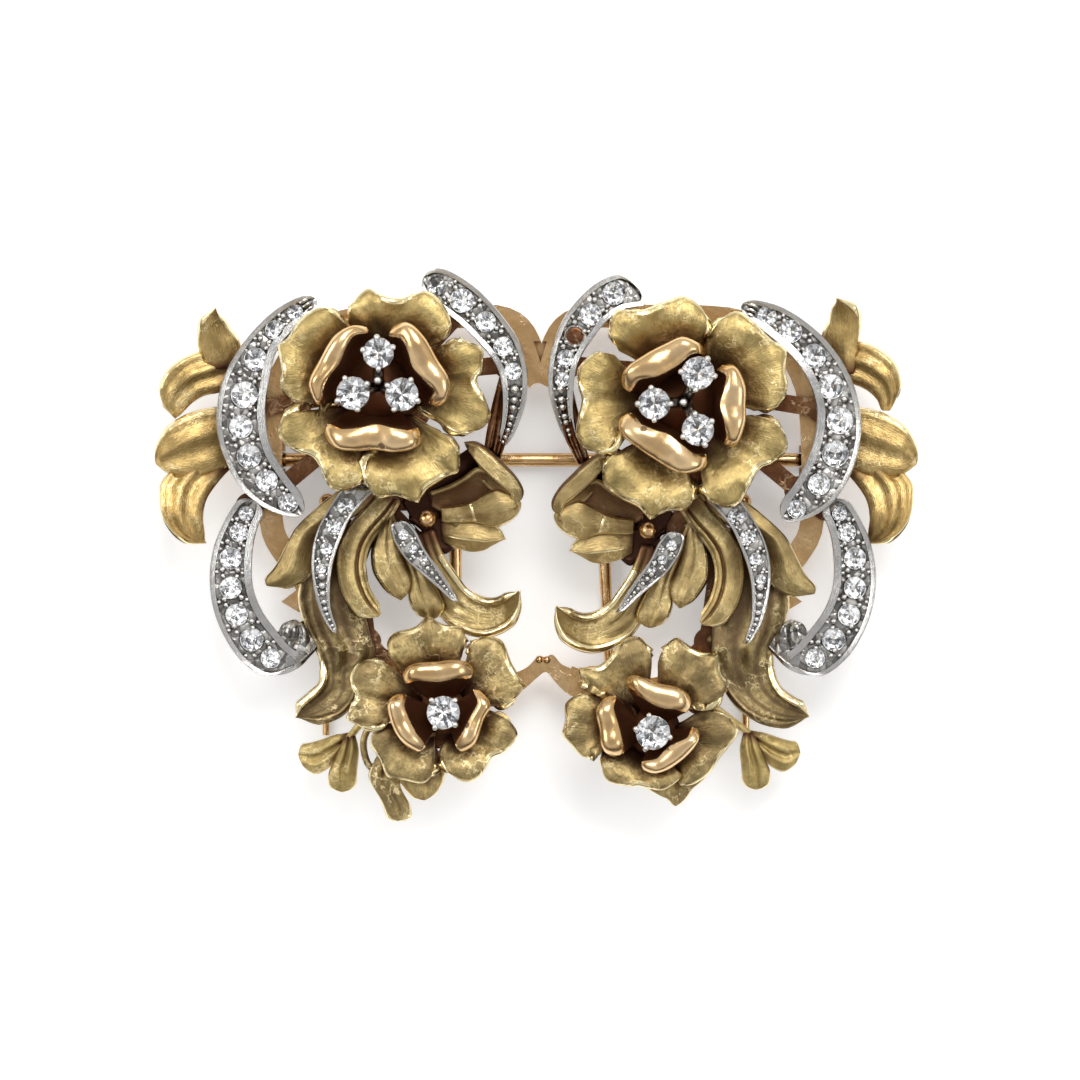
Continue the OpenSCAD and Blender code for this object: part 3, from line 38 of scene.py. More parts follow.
sides = ("left", "right")
print("frame loaded")

# Camera straight above, with the picture's own framing; sizes in millimetres
camera = {
    "middle": (0.21, 0.26), "pictureWidth": 91.8, "height": 2000, "sensor": 36, "focusZ": 9,
    "clip": (0.01, 10),  # metres
}

# Heights that the pieces share with the backing bars under them
footing = {"z": 4.9, "radius": 0.5}


# Curves and small sums, all in millimetres
def mix(a, b, t):
    return a + (b - a) * t


def clamp(x, low=0.0, high=1.0):
    return max(low, min(high, x))


def between(p, q, t):
    return tuple(mix(a, b, t) for a, b in zip(p, q))


def wrapped(angle):
    return (angle + 3 * math.pi) % (2 * math.pi) - math.pi


def onCircle(x, y, r, angle):
    return (x + r * math.cos(angle), y + r * math.sin(angle))


def rowMiddle(r):
    # halfway between a row's two edges
    return ((r[0] + r[2]) / 2, (r[1] + r[3]) / 2)


def spline(a, b, c, d, t):
    bend = (2 * a - 5 * b + 4 * c - d) * t * t
    return 0.5 * (2 * b + (c - a) * t + bend + (3 * b - a - 3 * c + d) * t ** 3)


def smoothRows(rows, steps, closed=False):
    # the curve that the solids follow, with more sections
    n = len(rows)
    out = []
    for i in range(n if closed else n - 1):
        if closed:
            near = [rows[(i + k) % n] for k in (-1, 0, 1, 2)]
        else:
            near = [rows[max(0, min(n - 1, i + k))] for k in (-1, 0, 1, 2)]
        for k in range(steps):
            out.append(tuple(spline(*column, k / steps) for column in zip(*near)))
    if not closed:
        out.append(tuple(rows[-1]))
    return out


def lengths(points):
    out = [0.0]
    for a, b in zip(points, points[1:]):
        out.append(out[-1] + math.dist(a, b))
    return out


# Worked sheet metal: how far its rim rounds out, and how it thins where the sheet is narrow
sheetForm = {"rimOut": 0.35, "narrow": 2.4, "thinnest": 0.22}


class Shape:
    # points and faces of one piece; the right clip's are mirrored and shifted as the piece is
    def __init__(self, side, shift=(0, 0)):
        self.turn = 1 if side == "left" else -1
        self.shift = shift if side == "right" else (0, 0)
        self.points = []
        self.tints = []
        self.faces = []
        self.uvs = []
        self.slots = []
        self.flats = []
        self.tones = []

    def add(self, p, tint=0.0):
        # tint 1 is a bright rim, polished wear with a painted highlight; -1 is painted shade at a root,
        # with some patina
        self.points.append((p[0] * self.turn + self.shift[0], p[1] + self.shift[1], p[2]))
        self.tints.append(tint)
        return len(self.points) - 1

    def face(self, ids, uvs=None, slot=0, flat=False):
        uvs = uvs or [self.points[i][:2] for i in ids]
        if self.turn < 0:
            ids = ids[::-1]
            uvs = uvs[::-1]
        self.faces.append(ids)
        self.uvs.append(uvs)
        self.slots.append(slot)
        self.flats.append(flat)
        self.tones.append(math.sin(len(self.faces) * 12.9898) * 43758.5453 % 1.0)

    def tube(self, rings, slots=0, tint=0.0):
        # a closed solid through rings of equal count
        count = len(rings[0])
        tints = tint if isinstance(tint, list) else [tint] * count
        ids = [[self.add(p, t) for p, t in zip(ring, tints)] for ring in rings]
        along = lengths([ring[0] for ring in rings])
        around = lengths(rings[len(rings) // 2] + [rings[len(rings) // 2][0]])
        for i in range(len(rings) - 1):
            for j in range(count):
                k = (j + 1) % count
                corners = [(along[i], around[j]), (along[i], around[j + 1])]
                corners += [(along[i + 1], around[j + 1]), (along[i + 1], around[j])]
                slot = slots[j] if isinstance(slots, list) else slots
                self.face([ids[i][j], ids[i][k], ids[i + 1][k], ids[i + 1][j]], corners, slot)
        self.face(ids[0][::-1])
        self.face(ids[-1])

    def sheet(self, grid, thick, tint, slot=0, rimTint=1.0):
        # a grid of points on the face, a back and a rounded rim all round; tint takes u, v
        rows, cols = len(grid), len(grid[0])
        top = [[Vector(p) for p in line] for line in grid]
        normals = []
        for i in range(rows):
            line = []
            for j in range(cols):
                down = top[min(i + 1, rows - 1)][j] - top[max(i - 1, 0)][j]
                over = top[i][min(j + 1, cols - 1)] - top[i][max(j - 1, 0)]
                n = down.cross(over)
                line.append(n.normalized() if n.length > 1e-9 else Vector((0, 0, 1)))
            normals.append(line)
        narrow, thinnest = sheetForm["narrow"] * thick, sheetForm["thinnest"]
        heft = [clamp(math.dist(line[0], line[-1]) / narrow, thinnest, 1) for line in grid]
        for i in range(rows):
            calm = normals[max(2, min(i, rows - 3))][cols // 2]
            normals[i] = [n.lerp(calm, 1 - heft[i]).normalized() for n in normals[i]]
        facing = 1 if sum(n.z for line in normals for n in line) > 0 else -1
        us = lengths([line[cols // 2] for line in top])
        vs = lengths(top[rows // 2])
        face, back = [], []
        for i in range(rows):
            face.append([])
            back.append([])
            for j in range(cols):
                edge = i in (0, rows - 1) or j in (0, cols - 1)
                value = tint(i / (rows - 1), j / (cols - 1))
                # the border takes rimTint unless it lies in painted shade: a bright rim, polished wear
                # with a painted highlight
                if edge and value > -0.5:
                    value = rimTint
                face[i].append(self.add(top[i][j], value))
                back[i].append(self.add(top[i][j] - normals[i][j] * facing * thick * heft[i], value * 0.5))
        for i in range(rows - 1):
            for j in range(cols - 1):
                quad = [(i, j), (i + 1, j), (i + 1, j + 1), (i, j + 1)][::facing]
                uvs = [(us[a], vs[b]) for a, b in quad]
                self.face([face[a][b] for a, b in quad], uvs, slot)
                self.face([back[a][b] for a, b in quad][::-1], uvs[::-1], slot)
        border = [(i, 0) for i in range(rows)] + [(rows - 1, j) for j in range(1, cols)]
        border += [(i, cols - 1) for i in range(rows - 2, -1, -1)]
        border += [(0, j) for j in range(cols - 2, 0, -1)]
        rim = []
        for a, b in border:
            if a in (0, rows - 1):
                away = top[a][cols // 2] - top[min(max(a, 2), rows - 3)][cols // 2]
            else:
                away = top[a][b] - top[a][min(max(b, 1), cols - 2)]
            away = away.normalized() * thick * heft[a] * sheetForm["rimOut"]
            middle = top[a][b] - normals[a][b] * facing * thick * heft[a] * 0.5
            rim.append(self.add(middle + away, self.tints[face[a][b]]))
        for k, (a, b) in enumerate(border):
            c, d = border[(k + 1) % len(border)]
            n = (k + 1) % len(border)
            uvs = [(us[a], vs[b]), (us[c], vs[d])]
            uvs += uvs[::-1]
            upper = [face[c][d], face[a][b], rim[k], rim[n]][::facing]
            lower = [rim[n], rim[k], back[a][b], back[c][d]][::facing]
            self.face(upper, uvs, slot)
            self.face(lower, uvs, slot)

    def wire(self, points, radii, around=10, slot=0, tint=0.0):
        # round wire through points, with a radius for each point or one for all
        angles = [2 * math.pi * k / around for k in range(around)]
        rings = []
        for i, p in enumerate(points):
            along = Vector(points[min(i + 1, len(points) - 1)]) - Vector(points[max(i - 1, 0)])
            along.normalize()
            x = along.cross(Vector((0, 0, 1)) if abs(along.z) < 0.9 else Vector((0, 1, 0))).normalized()
            y = along.cross(x)
            r = radii[i] if isinstance(radii, (list, tuple)) else radii
            rings.append([tuple(Vector(p) + (x * math.cos(t) + y * math.sin(t)) * r) for t in angles])
        self.tube(rings, slot, tint)

    def ball(self, centre, r, squash=1.0, slot=0, turns=8, tint=0.0):
        x, y, z = centre
        angles = [2 * math.pi * k / 12 for k in range(12)]
        rings = []
        for i in range(turns + 1):
            a = math.pi * clamp(i / turns, 0.02, 0.98)
            level = z - r * squash * math.cos(a)
            rings.append([(*onCircle(x, y, r * math.sin(a), t), level) for t in angles])
        self.tube(rings, slot, tint)

    def foot(self, x, y, top):
        self.wire([(x, y, footing["z"]), (x, y, top)], footing["radius"], 12)

    def build(self, name, finishes, slotName, nodes, sharp=None):
        mesh = bpy.data.meshes.new(name)
        mesh.from_pydata([(x * mm, y * mm, z * mm) for x, y, z in self.points], [], self.faces)
        layer = mesh.uv_layers.new(name="UVMap")
        for loop, uv in zip(layer.data, [uv for face in self.uvs for uv in face]):
            loop.uv = (uv[0] * 0.1, uv[1] * 0.1)
        tint = mesh.attributes.new("tint", "FLOAT", "POINT")
        tint.data.foreach_set("value", self.tints)
        tone = mesh.attributes.new("facet", "FLOAT", "FACE")
        tone.data.foreach_set("value", self.tones)
        mesh.polygons.foreach_set("material_index", self.slots)
        mesh.polygons.foreach_set("use_smooth", [not flat for flat in self.flats])
        for finish in finishes:
            mesh.materials.append(materials[finish])
        if sharp:
            mesh.set_sharp_from_angle(angle=math.radians(sharp))
        piece = bpy.data.objects.new(name, mesh)
        bpy.context.scene.collection.objects.link(piece)
        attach(piece, "brooch")
        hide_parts(*nodes)


# Shader maths: a wrapped socket, so that masks add and multiply as plain expressions
class Value:
    def __init__(self, paint, socket):
        self.paint = paint
        self.socket = socket

    def maths(self, operation, first, second):
        return self.paint.node("ShaderNodeMath", {"operation": operation}, [first, second])

    def __add__(self, other):
        return self.maths("ADD", self, other)

    def __radd__(self, other):
        return self.maths("ADD", other, self)

    def __sub__(self, other):
        return self.maths("SUBTRACT", self, other)

    def __rsub__(self, other):
        return self.maths("SUBTRACT", other, self)

    def __mul__(self, other):
        return self.maths("MULTIPLY", self, other)

    def __rmul__(self, other):
        return self.maths("MULTIPLY", other, self)

    def ramp(self, low, high):
        # 0 below low, 1 above high, smooth between
        ends = {"Value": self, "From Min": low, "From Max": high}
        return self.paint.node("ShaderNodeMapRange", {"interpolation_type": "SMOOTHSTEP"}, ends)


class Paint:
    # the nodes of one material or of the world
    def __init__(self, owner):
        owner.use_nodes = True
        self.owner = owner
        self.tree = owner.node_tree
        self.count = 0

    def node(self, kind, settings, sockets, output=0):
        made = self.tree.nodes.new(kind)
        made.location = (-220 * (self.count % 9) - 250, 190 * (self.count // 9))
        self.count += 1
        for key, value in settings.items():
            setattr(made, key, value)
        for key, value in (sockets.items() if isinstance(sockets, dict) else enumerate(sockets)):
            self.join(made.inputs[key], value)
        return Value(self, made.outputs[output])

    def join(self, socket, value):
        if isinstance(value, Value):
            self.tree.links.new(value.socket, socket)
        elif isinstance(value, tuple) and socket.type == "RGBA":
            socket.default_value = (*value, 1)
        else:
            socket.default_value = value

    def surface(self, sockets):
        shader = self.tree.nodes["Principled BSDF"]
        for key, value in sockets.items():
            self.join(shader.inputs[key], value)
        return self.owner

    def attribute(self, name):
        return self.node("ShaderNodeAttribute", {"attribute_name": name}, {}, "Fac")

    def place(self, kind, **mapping):
        where = self.node("ShaderNodeTexCoord", {}, {}, kind)
        return self.node("ShaderNodeMapping", {}, {"Vector": where, **mapping})

    def spot(self):
        # the place on the object, in centimetres
        return self.place("Object", Scale=(100, 100, 100))

    def grain(self, along, across, angle=0.0):
        # along and across the worked sheet, in centimetres
        turned = self.place("UV", Rotation=(0, 0, angle))
        return self.node("ShaderNodeMapping", {}, {"Vector": turned, "Scale": (along, across, 1)})

    def noise(self, place, scale, detail, rough):
        sockets = {"Vector": place, "Scale": scale, "Detail": detail, "Roughness": rough}
        return self.node("ShaderNodeTexNoise", {}, sockets)

    def blend(self, amount, low, high):
        return self.node("ShaderNodeMix", {"data_type": "RGBA"}, {"Factor": amount, 6: low, 7: high}, 2)

    def open(self, distance):
        # 1 in the open, 0 deep in a recess
        return self.node("ShaderNodeAmbientOcclusion", {"samples": 6}, {"Distance": distance}, 1)

    def bump(self, height, depth, under=None):
        sockets = {"Height": height, "Distance": depth}
        if under:
            sockets["Normal"] = under
        return self.node("ShaderNodeBump", {}, sockets)

    def metal(self, colour, rough, relief):
        return self.surface({"Base Color": colour, "Metallic": 1.0, "Roughness": rough, "Normal": relief})


# Finishes: light and deep tones, a bright rim (polished wear with a painted highlight), painted shade with
# patina in the recesses, roughness, depth of strokes and dents
satinFinish = {
    "light": (0.68, 0.515, 0.215), "deep": (0.36, 0.265, 0.105), "rim": (0.95, 0.79, 0.45),
    "shadeAndPatina": (0.15, 0.068, 0.036), "rough": 0.36, "rimRough": 0.16,
    "strokes": 0.000055, "dents": 0.00014, "reach": 0.0032, "patches": 3.0, "patina": 0.4,
}
smallFinish = dict(
    satinFinish, light=(0.57, 0.43, 0.19), deep=(0.23, 0.165, 0.075), patches=3.4, patina=0.75,
)
sideFinish = dict(satinFinish, light=(0.74, 0.53, 0.22), deep=(0.44, 0.30, 0.115), rough=0.27, patina=0.2)
oliveFinish = dict(
    satinFinish, light=(0.42, 0.32, 0.145), deep=(0.17, 0.12, 0.06), shadeAndPatina=(0.13, 0.08, 0.045),
    rough=0.3, patches=4, patina=0.5,
)
innerFinish = dict(
    satinFinish, light=(0.66, 0.50, 0.225), deep=(0.38, 0.275, 0.12), rough=0.3, dents=0.0001,
)
roseFinish = dict(
    satinFinish, light=(0.72, 0.47, 0.235), deep=(0.55, 0.33, 0.15), rim=(0.8, 0.55, 0.32),
    shadeAndPatina=(0.12, 0.04, 0.015),
    rough=0.16, rimRough=0.14, strokes=0.00001, dents=0.00006, reach=0.0016, patina=0.0,
)
frameFinish = dict(
    roseFinish, light=(0.80, 0.54, 0.27), deep=(0.62, 0.38, 0.17), shadeAndPatina=(0.14, 0.05, 0.02),
    reach=0.003, rough=0.22,
)
# rose gold darkened as painted shade, for the backing parts that lie under the others
underFinish = dict(
    roseFinish, light=(0.36, 0.175, 0.08), deep=(0.16, 0.062, 0.028), shadeAndPatina=(0.05, 0.022, 0.014),
    reach=0.007,
)
brightFinish = {
    "light": (0.84, 0.60, 0.33), "deep": (0.66, 0.43, 0.20), "shadeAndPatina": (0.20, 0.085, 0.04),
    "pit": (0.10, 0.055, 0.03), "pitSize": 0.09, "rough": 0.22, "dents": 0.00011, "reach": 0.0026,
    "cloudNoise": (3.5, 3, 0.5), "raggedNoise": (16, 2, 0.6), "softNoise": (5, 2, 0.5),
    "cloud": (0.35, 0.68), "pitScale": 3.2, "ragged": 0.14, "pitShare": 0.8,
    "open": (0.1, 0.72), "darkTint": (0.05, 0.6), "pitEdge": (0.7, 1.3), "pitDepth": 0.3,
    "pitRough": 0.35, "cloudRough": 0.12, "darkTintRough": 0.3, "roughBase": 0.04,
}

# Marks that all worked gold shares. Noise: scale, detail, roughness; masks: their two ends; shares
goldMarks = {
    "cloudNoise": (4, 0.6), "strokeGrain": (1.3, 22), "strokeNoise": (6, 4, 0.6),
    "crossGrain": (16, 2, 0.7), "crossNoise": (4, 3, 0.6), "speckleNoise": (26, 3, 0.75),
    "lineNoise": (4.5, 4, 0.65), "areaNoise": (3.1, 2, 0.5), "dentNoise": (7, 2, 0.5),
    "rim": (0.3, 0.95), "darkTint": (0.1, 1.1), "wide": (0.08, 0.66), "close": (0.15, 0.75),
    "cloud": (0.48, 0.78), "dirt": (0.54, 0.72), "speckle": (0.56, 0.36), "line": (0.0006, 0.00005),
    "area": (0.46, 0.6), "closeReach": 0.0008, "closeShare": 0.55, "dirtScale": 2.2, "dirtTone": 0.32,
    "dirtNoise": (5, 0.7), "rimKeeps": 0.3,
    "markShare": 0.6, "strokeShare": 0.25, "strokeRough": 0.22, "recessRough": 0.15,
    "crossDepth": 0.5, "rimCalm": 0.8, "scratchDepth": 0.1, "speckleDepth": 0.06,
}

# The same for platinum: the bright cut beds and the plain metal
platinumMarks = {
    "cells": 13, "grooves": (0.0, 0.12), "cutOpen": (0.1, 0.7), "tones": (0.2, 0.8), "darkFacet": 0.35,
    "gritNoise": (40, 3, 0.7), "gritDepth": 0.3, "grooveDepth": 1.5, "cutDepth": 0.0001, "toneRough": 0.2,
    "cloudNoise": (7, 3, 0.6), "lineGrain": (3, 26), "lineNoise": (5, 3, 0.6), "open": (0.12, 0.72),
    "darkTint": (0.1, 1.1), "cloud": (0.3, 0.7), "darkCloud": 0.82, "depth": 0.00003, "cloudRough": 0.2,
}
# stones: a clear crown, and a pavilion with painted reflections and a painted glow
stoneLook = {
    "index": 1.9, "rough": 0.06, "tones": (0.1, 0.7), "dark": (0.42, 0.43, 0.45),
    "bright": (1.0, 1.0, 1.0), "glows": (0.45, 0.9), "glowDark": (0.02, 0.02, 0.02), "glow": 0.55,
}


def workedGold(name, finish):
    # filed gold: cloudy patches, fine strokes, bright rims that are polished wear with a painted
    # highlight, and painted shade with patina in the recesses
    p = Paint(bpy.data.materials.new(name))
    m = goldMarks
    cloud = p.noise(p.spot(), finish["patches"], *m["cloudNoise"])
    strokes = p.noise(p.grain(*m["strokeGrain"]), *m["strokeNoise"])
    crossed = p.noise(p.grain(*m["crossGrain"]), *m["crossNoise"])
    tint = p.attribute("tint")
    # the bright rim mask: polished wear with a painted highlight
    rim = tint.ramp(*m["rim"])
    # painted shade with patina: the dark tint and the recesses found by ambient occlusion
    darkTint = (0 - tint).ramp(*m["darkTint"])
    wide = p.open(finish["reach"]).ramp(*m["wide"])
    close = p.open(m["closeReach"]).ramp(*m["close"])
    patches = (cloud + strokes * m["strokeShare"]).ramp(*m["cloud"])
    colour = p.blend(patches, finish["deep"], finish["light"])
    dirt = p.noise(p.spot(), finish["patches"] * m["dirtScale"], *m["dirtNoise"]).ramp(*m["dirt"])
    colour = p.blend(dirt * finish["patina"], colour, tuple(c * m["dirtTone"] for c in finish["deep"]))
    # a fine speckle, and thin bright scratches that wander over the face
    speckle = p.noise(p.spot(), *m["speckleNoise"])
    colour = p.blend(speckle.ramp(*m["speckle"]) * m["markShare"], colour, finish["deep"])
    wander = p.noise(p.spot(), *m["lineNoise"]) - 0.5
    scratch = (wander * wander).ramp(*m["line"]) * p.noise(p.spot(), *m["areaNoise"]).ramp(*m["area"])
    colour = p.blend(scratch * m["markShare"], colour, finish["rim"])
    colour = p.blend(rim, colour, finish["rim"])
    # painted shade with patina takes the recesses and dark roots; the rims keep part of their colour
    unshadedClean = wide * (close * m["closeShare"] + (1 - m["closeShare"])) * (1 - darkTint)
    colour = p.blend((unshadedClean + rim * m["rimKeeps"]).ramp(0, 1), finish["shadeAndPatina"], colour)
    satin = (1 - rim) * (finish["rough"] - finish["rimRough"]) + finish["rimRough"]
    rough = satin + (strokes - 0.5) * m["strokeRough"] + (1 - unshadedClean) * m["recessRough"]
    marks = p.bump((strokes + crossed * m["crossDepth"]) * (1 - rim * m["rimCalm"]), finish["strokes"])
    dents = p.noise(p.spot(), *m["dentNoise"])
    height = dents + scratch * m["scratchDepth"] + speckle * m["speckleDepth"]
    return p.metal(colour, rough, p.bump(height, finish["dents"], marks))


def brightGold(name, finish):
    # polished rolled petals with a few dark casting pits, and painted shade with patina in the recesses
    # and at the roots
    p = Paint(bpy.data.materials.new(name))
    cloud = p.noise(p.spot(), *finish["cloudNoise"])
    cells = p.node("ShaderNodeTexVoronoi", {}, {"Vector": p.spot(), "Scale": finish["pitScale"]})
    ragged = (p.noise(p.spot(), *finish["raggedNoise"]) - 0.5) * finish["ragged"]
    pit = 1 - (cells + ragged).ramp(*[finish["pitSize"] * k for k in finish["pitEdge"]])
    # painted shade with patina in the recesses and where the tint is dark
    darkTint = (0 - p.attribute("tint")).ramp(*finish["darkTint"])
    unshadedClean = p.open(finish["reach"]).ramp(*finish["open"]) * (1 - darkTint)
    colour = p.blend(cloud.ramp(*finish["cloud"]), finish["deep"], finish["light"])
    colour = p.blend(unshadedClean, finish["shadeAndPatina"], colour)
    colour = p.blend(pit * finish["pitShare"], colour, finish["pit"])
    soft = p.noise(p.spot(), *finish["softNoise"])
    rough = pit * finish["pitRough"] + cloud * finish["cloudRough"] + (1 - unshadedClean) * finish["darkTintRough"]
    rough = rough + (finish["rough"] - finish["roughBase"])
    return p.metal(colour, rough, p.bump(soft - pit * finish["pitDepth"], finish["dents"]))


def cutMetal(name, bright, dark, rough, reach):
    # bright cut platinum: small facets side by side, each a random light or dark tone as a painted
    # reflection, with painted shade in the recesses
    p = Paint(bpy.data.materials.new(name))
    m = platinumMarks
    cells = {"Vector": p.spot(), "Scale": m["cells"]}
    edges = p.node("ShaderNodeTexVoronoi", {"feature": "DISTANCE_TO_EDGE"}, cells)
    facet = p.node("ShaderNodeTexVoronoi", {}, cells, "Color")
    tone = p.node("ShaderNodeSeparateColor", {}, {"Color": facet})
    # painted shade in the recesses and along the grooves between facets
    unshadedClean = p.open(reach).ramp(*m["cutOpen"]) * (edges.ramp(*m["grooves"]) * 0.5 + 0.5)
    # painted reflections: each facet a random light or dark tone
    colour = p.blend(tone.ramp(*m["tones"]), tuple(c * m["darkFacet"] for c in bright), bright)
    grit = p.noise(p.spot(), *m["gritNoise"])
    relief = p.bump(edges * m["grooveDepth"] + grit * m["gritDepth"], m["cutDepth"])
    return p.metal(p.blend(unshadedClean, dark, colour), tone * m["toneRough"] + rough, relief)


def whiteMetal(name, bright, dark, rough, reach):
    # platinum with painted shade in the recesses and where the tint is dark
    p = Paint(bpy.data.materials.new(name))
    m = platinumMarks
    cloud = p.noise(p.spot(), *m["cloudNoise"])
    lines = p.noise(p.grain(*m["lineGrain"]), *m["lineNoise"])
    # painted shade with patina in the recesses and where the tint is dark
    unshadedClean = p.open(reach).ramp(*m["open"]) * (1 - (0 - p.attribute("tint")).ramp(*m["darkTint"]))
    colour = p.blend(cloud.ramp(*m["cloud"]), tuple(c * m["darkCloud"] for c in bright), bright)
    level = (cloud - 0.5) * m["cloudRough"] + rough
    return p.metal(p.blend(unshadedClean, dark, colour), level, p.bump(lines + cloud, m["depth"]))


def stoneCrown(name):
    p = Paint(bpy.data.materials.new(name))
    clear = {"IOR": stoneLook["index"], "Transmission Weight": 1.0}
    return p.surface({"Base Color": (1, 1, 1), "Roughness": 0.0, **clear})


def stoneBack(name):
    # the pavilion's light thrown back up through the crown is painted: random light and dark facets as
    # painted reflections, and a painted glow
    p = Paint(bpy.data.materials.new(name))
    look = stoneLook
    facet = p.attribute("facet")
    # painted reflections: each pavilion facet a random light or dark tone
    colour = p.blend(facet.ramp(*look["tones"]), look["dark"], look["bright"])
    # a painted glow, emitted from the pavilion facets
    glow = p.blend(facet.ramp(*look["glows"]), look["glowDark"], look["bright"])
    lit = {"Emission Color": glow, "Emission Strength": look["glow"]}
    return p.surface({"Base Color": colour, "Metallic": 1.0, "Roughness": look["rough"], **lit})


materials = {
    "satin": workedGold("satinGold", satinFinish),
    "small": workedGold("smallFlowerGold", smallFinish),
    "side": workedGold("sideLeafGold", sideFinish),
    "olive": workedGold("scrollGold", oliveFinish),
    "inner": workedGold("foldedLeafGold", innerFinish),
    "rose": workedGold("roseGold", roseFinish),
    "frame": workedGold("frameGold", frameFinish),
    "under": workedGold("backingGold", underFinish),
    "bright": brightGold("polishedGold", brightFinish),
    "white": whiteMetal("platinum", (0.62, 0.605, 0.58), (0.10, 0.080, 0.065), 0.17, 0.0018),
    "cut": whiteMetal("cutPlatinum", (0.78, 0.77, 0.75), (0.09, 0.075, 0.06), 0.14, 0.0006),
    "bed": cutMetal("ribbonBed", (0.66, 0.64, 0.60), (0.05, 0.038, 0.03), 0.16, 0.0009),
    "claw": whiteMetal("clawMetal", (0.74, 0.73, 0.71), (0.12, 0.09, 0.07), 0.16, 0.0010),
    "crown": stoneCrown("stoneCrown"),
    "back": stoneBack("stoneBack"),
}
print("finishes made")


# Sections across a leaf, 0 to 1 from its left edge to its right one
def arched(v):
    return math.sin(math.pi * v)


def veined(v):
    # two swelling halves and a sunk crease between them
    return math.sin(math.pi * v) ** 0.7 - 0.75 * math.exp(-((v - 0.5) / 0.10) ** 2)


def keeled(v):
    # flat facets that meet in a ridge
    return 1 - abs(2 * v - 1) ** 1.15


def folded(v):
    # long soft folds side by side
    return math.sin(math.pi * v) + 0.45 * math.sin(5 * math.pi * v + 0.6)


def cupped(v):
    # a broad body, a deep groove and a narrow raised rim
    return math.sin(math.pi * v) ** 0.7 - 1.1 * math.exp(-((v - 0.66) / 0.07) ** 2)


leafSteps = 8  # sections between two rows
lipSharpness = 8  # how close to the edge its raised lip keeps


def leafGrid(rows, section, lift=1.0, ridge=0.5, across=12, lip=0.1, tip=(1, 0.5)):
    # columns of a row: left x, left y, right x, right y, left z, right z, rise of the middle
    # tip: how many rows close to the point, and how bluntly; none for an open end
    power = math.log(0.5) / math.log(ridge)
    path = smoothRows(rows, leafSteps)
    grid = []
    for i, r in enumerate(path):
        s = clamp(1 - (len(path) - 1 - i) / (leafSteps * tip[0])) if tip else 0
        close = max(0.02, 1 - s * s) ** (tip[1] if tip else 1)
        edging = lip * clamp(math.dist(r[:2], r[2:4]) * close / 1.6)
        line = []
        for j in range(across + 1):
            v = j / across
            w = 0.5 + (v - 0.5) * close
            rise = max(0, r[6]) * lift * section(v ** power) + min(0, r[6]) * math.sin(math.pi * v)
            edge = edging * abs(2 * v - 1) ** lipSharpness
            line.append((mix(r[0], r[2], w), mix(r[1], r[3], w), mix(r[4], r[5], w) + rise * close + edge))
        grid.append(line)
    return grid


def dull(level):
    return lambda u, v: level


def leafTint(u, v):
    # painted shade toward the leaf's root
    return -clamp(1 - u * 4.5)


def grooveTint(u, v):
    # painted shade at the root and along the grooves
    return -clamp(max(1 - u * 4.5, 0.32 - 0.4 * math.sin(5 * math.pi * v + 0.6)))


# Brilliant cut stone: table, stars, kites, girdle and pavilion
stoneCut = {"table": 0.56, "crown": 0.15, "girdle": 0.02, "pavilion": 0.33, "mains": 0.30}


def brilliant(shape, x, y, z, d, turn):
    cut = stoneCut

    def ring(radius, height, half):
        spots = [onCircle(x, y, radius * d / 2, (k + half) * math.pi / 4 + turn) for k in range(8)]
        return [shape.add((*spot, z + height * d)) for spot in spots]

    table = ring(cut["table"], cut["crown"], 0)
    star = ring((1 + cut["table"]) / 2 * 1.04, cut["crown"] * 0.52, 0.5)
    girdle = [i for pair in zip(ring(1, 0, 0), ring(1, 0, 0.5)) for i in pair]
    under = [i for pair in zip(ring(1, -cut["girdle"], 0), ring(1, -cut["girdle"], 0.5)) for i in pair]
    lower = ring(cut["mains"], -cut["pavilion"] * 0.78, 0.5)
    culet = shape.add((x, y, z - cut["pavilion"] * d))
    shape.face(table, None, 0, True)
    for k in range(8):
        n = (k + 1) % 8
        a, b, c = girdle[2 * k], girdle[2 * k + 1], girdle[(2 * k + 2) % 16]
        e, f, g = under[2 * k], under[2 * k + 1], under[(2 * k + 2) % 16]
        upper = [[table[k], star[k], table[n]], [table[k], star[k - 1], a, star[k]]]
        upper += [[star[k], a, b], [star[k], b, c], [a, e, f, b], [b, f, g, c]]
        for corners in upper:
            shape.face(corners, None, 0, True)
        for corners in ([e, lower[k], f], [f, lower[k], g], [e, lower[k - 1], culet, lower[k]]):
            shape.face(corners, None, 1, True)


def stoneField(name, side, groups, nodes):
    # groups of a shift for the right clip and rows of x, y, width, girdle z
    shape = Shape(side)
    for shift, stones in groups:
        shape.shift = shift if side == "right" else (0, 0)
        for i, s in enumerate(stones):
            brilliant(shape, s[0], s[1], s[3], s[2], 0.2 + 1.7 * i)
    shape.build(name, ["crown", "back"], "diamond", nodes)


def collar(shape, x, y, z, radius, wall, depth, slot, count=16):
    # the bright cut ring round a set stone: an open band with a sloping inner wall
    profile = [(radius + wall, -depth), (radius + wall, -0.05), (radius + wall * 0.5, 0.05)]
    profile += [(radius * 0.985, 0.0), (radius * 0.5, -depth)]
    rings = []
    for k in range(count):
        a = 2 * math.pi * k / count
        rings.append([shape.add((*onCircle(x, y, r, a), z + h)) for r, h in profile])
    for k in range(count):
        n = (k + 1) % count
        for j in range(len(profile)):
            m = (j + 1) % len(profile)
            shape.face([rings[k][j], rings[n][j], rings[n][m], rings[k][m]], None, slot)


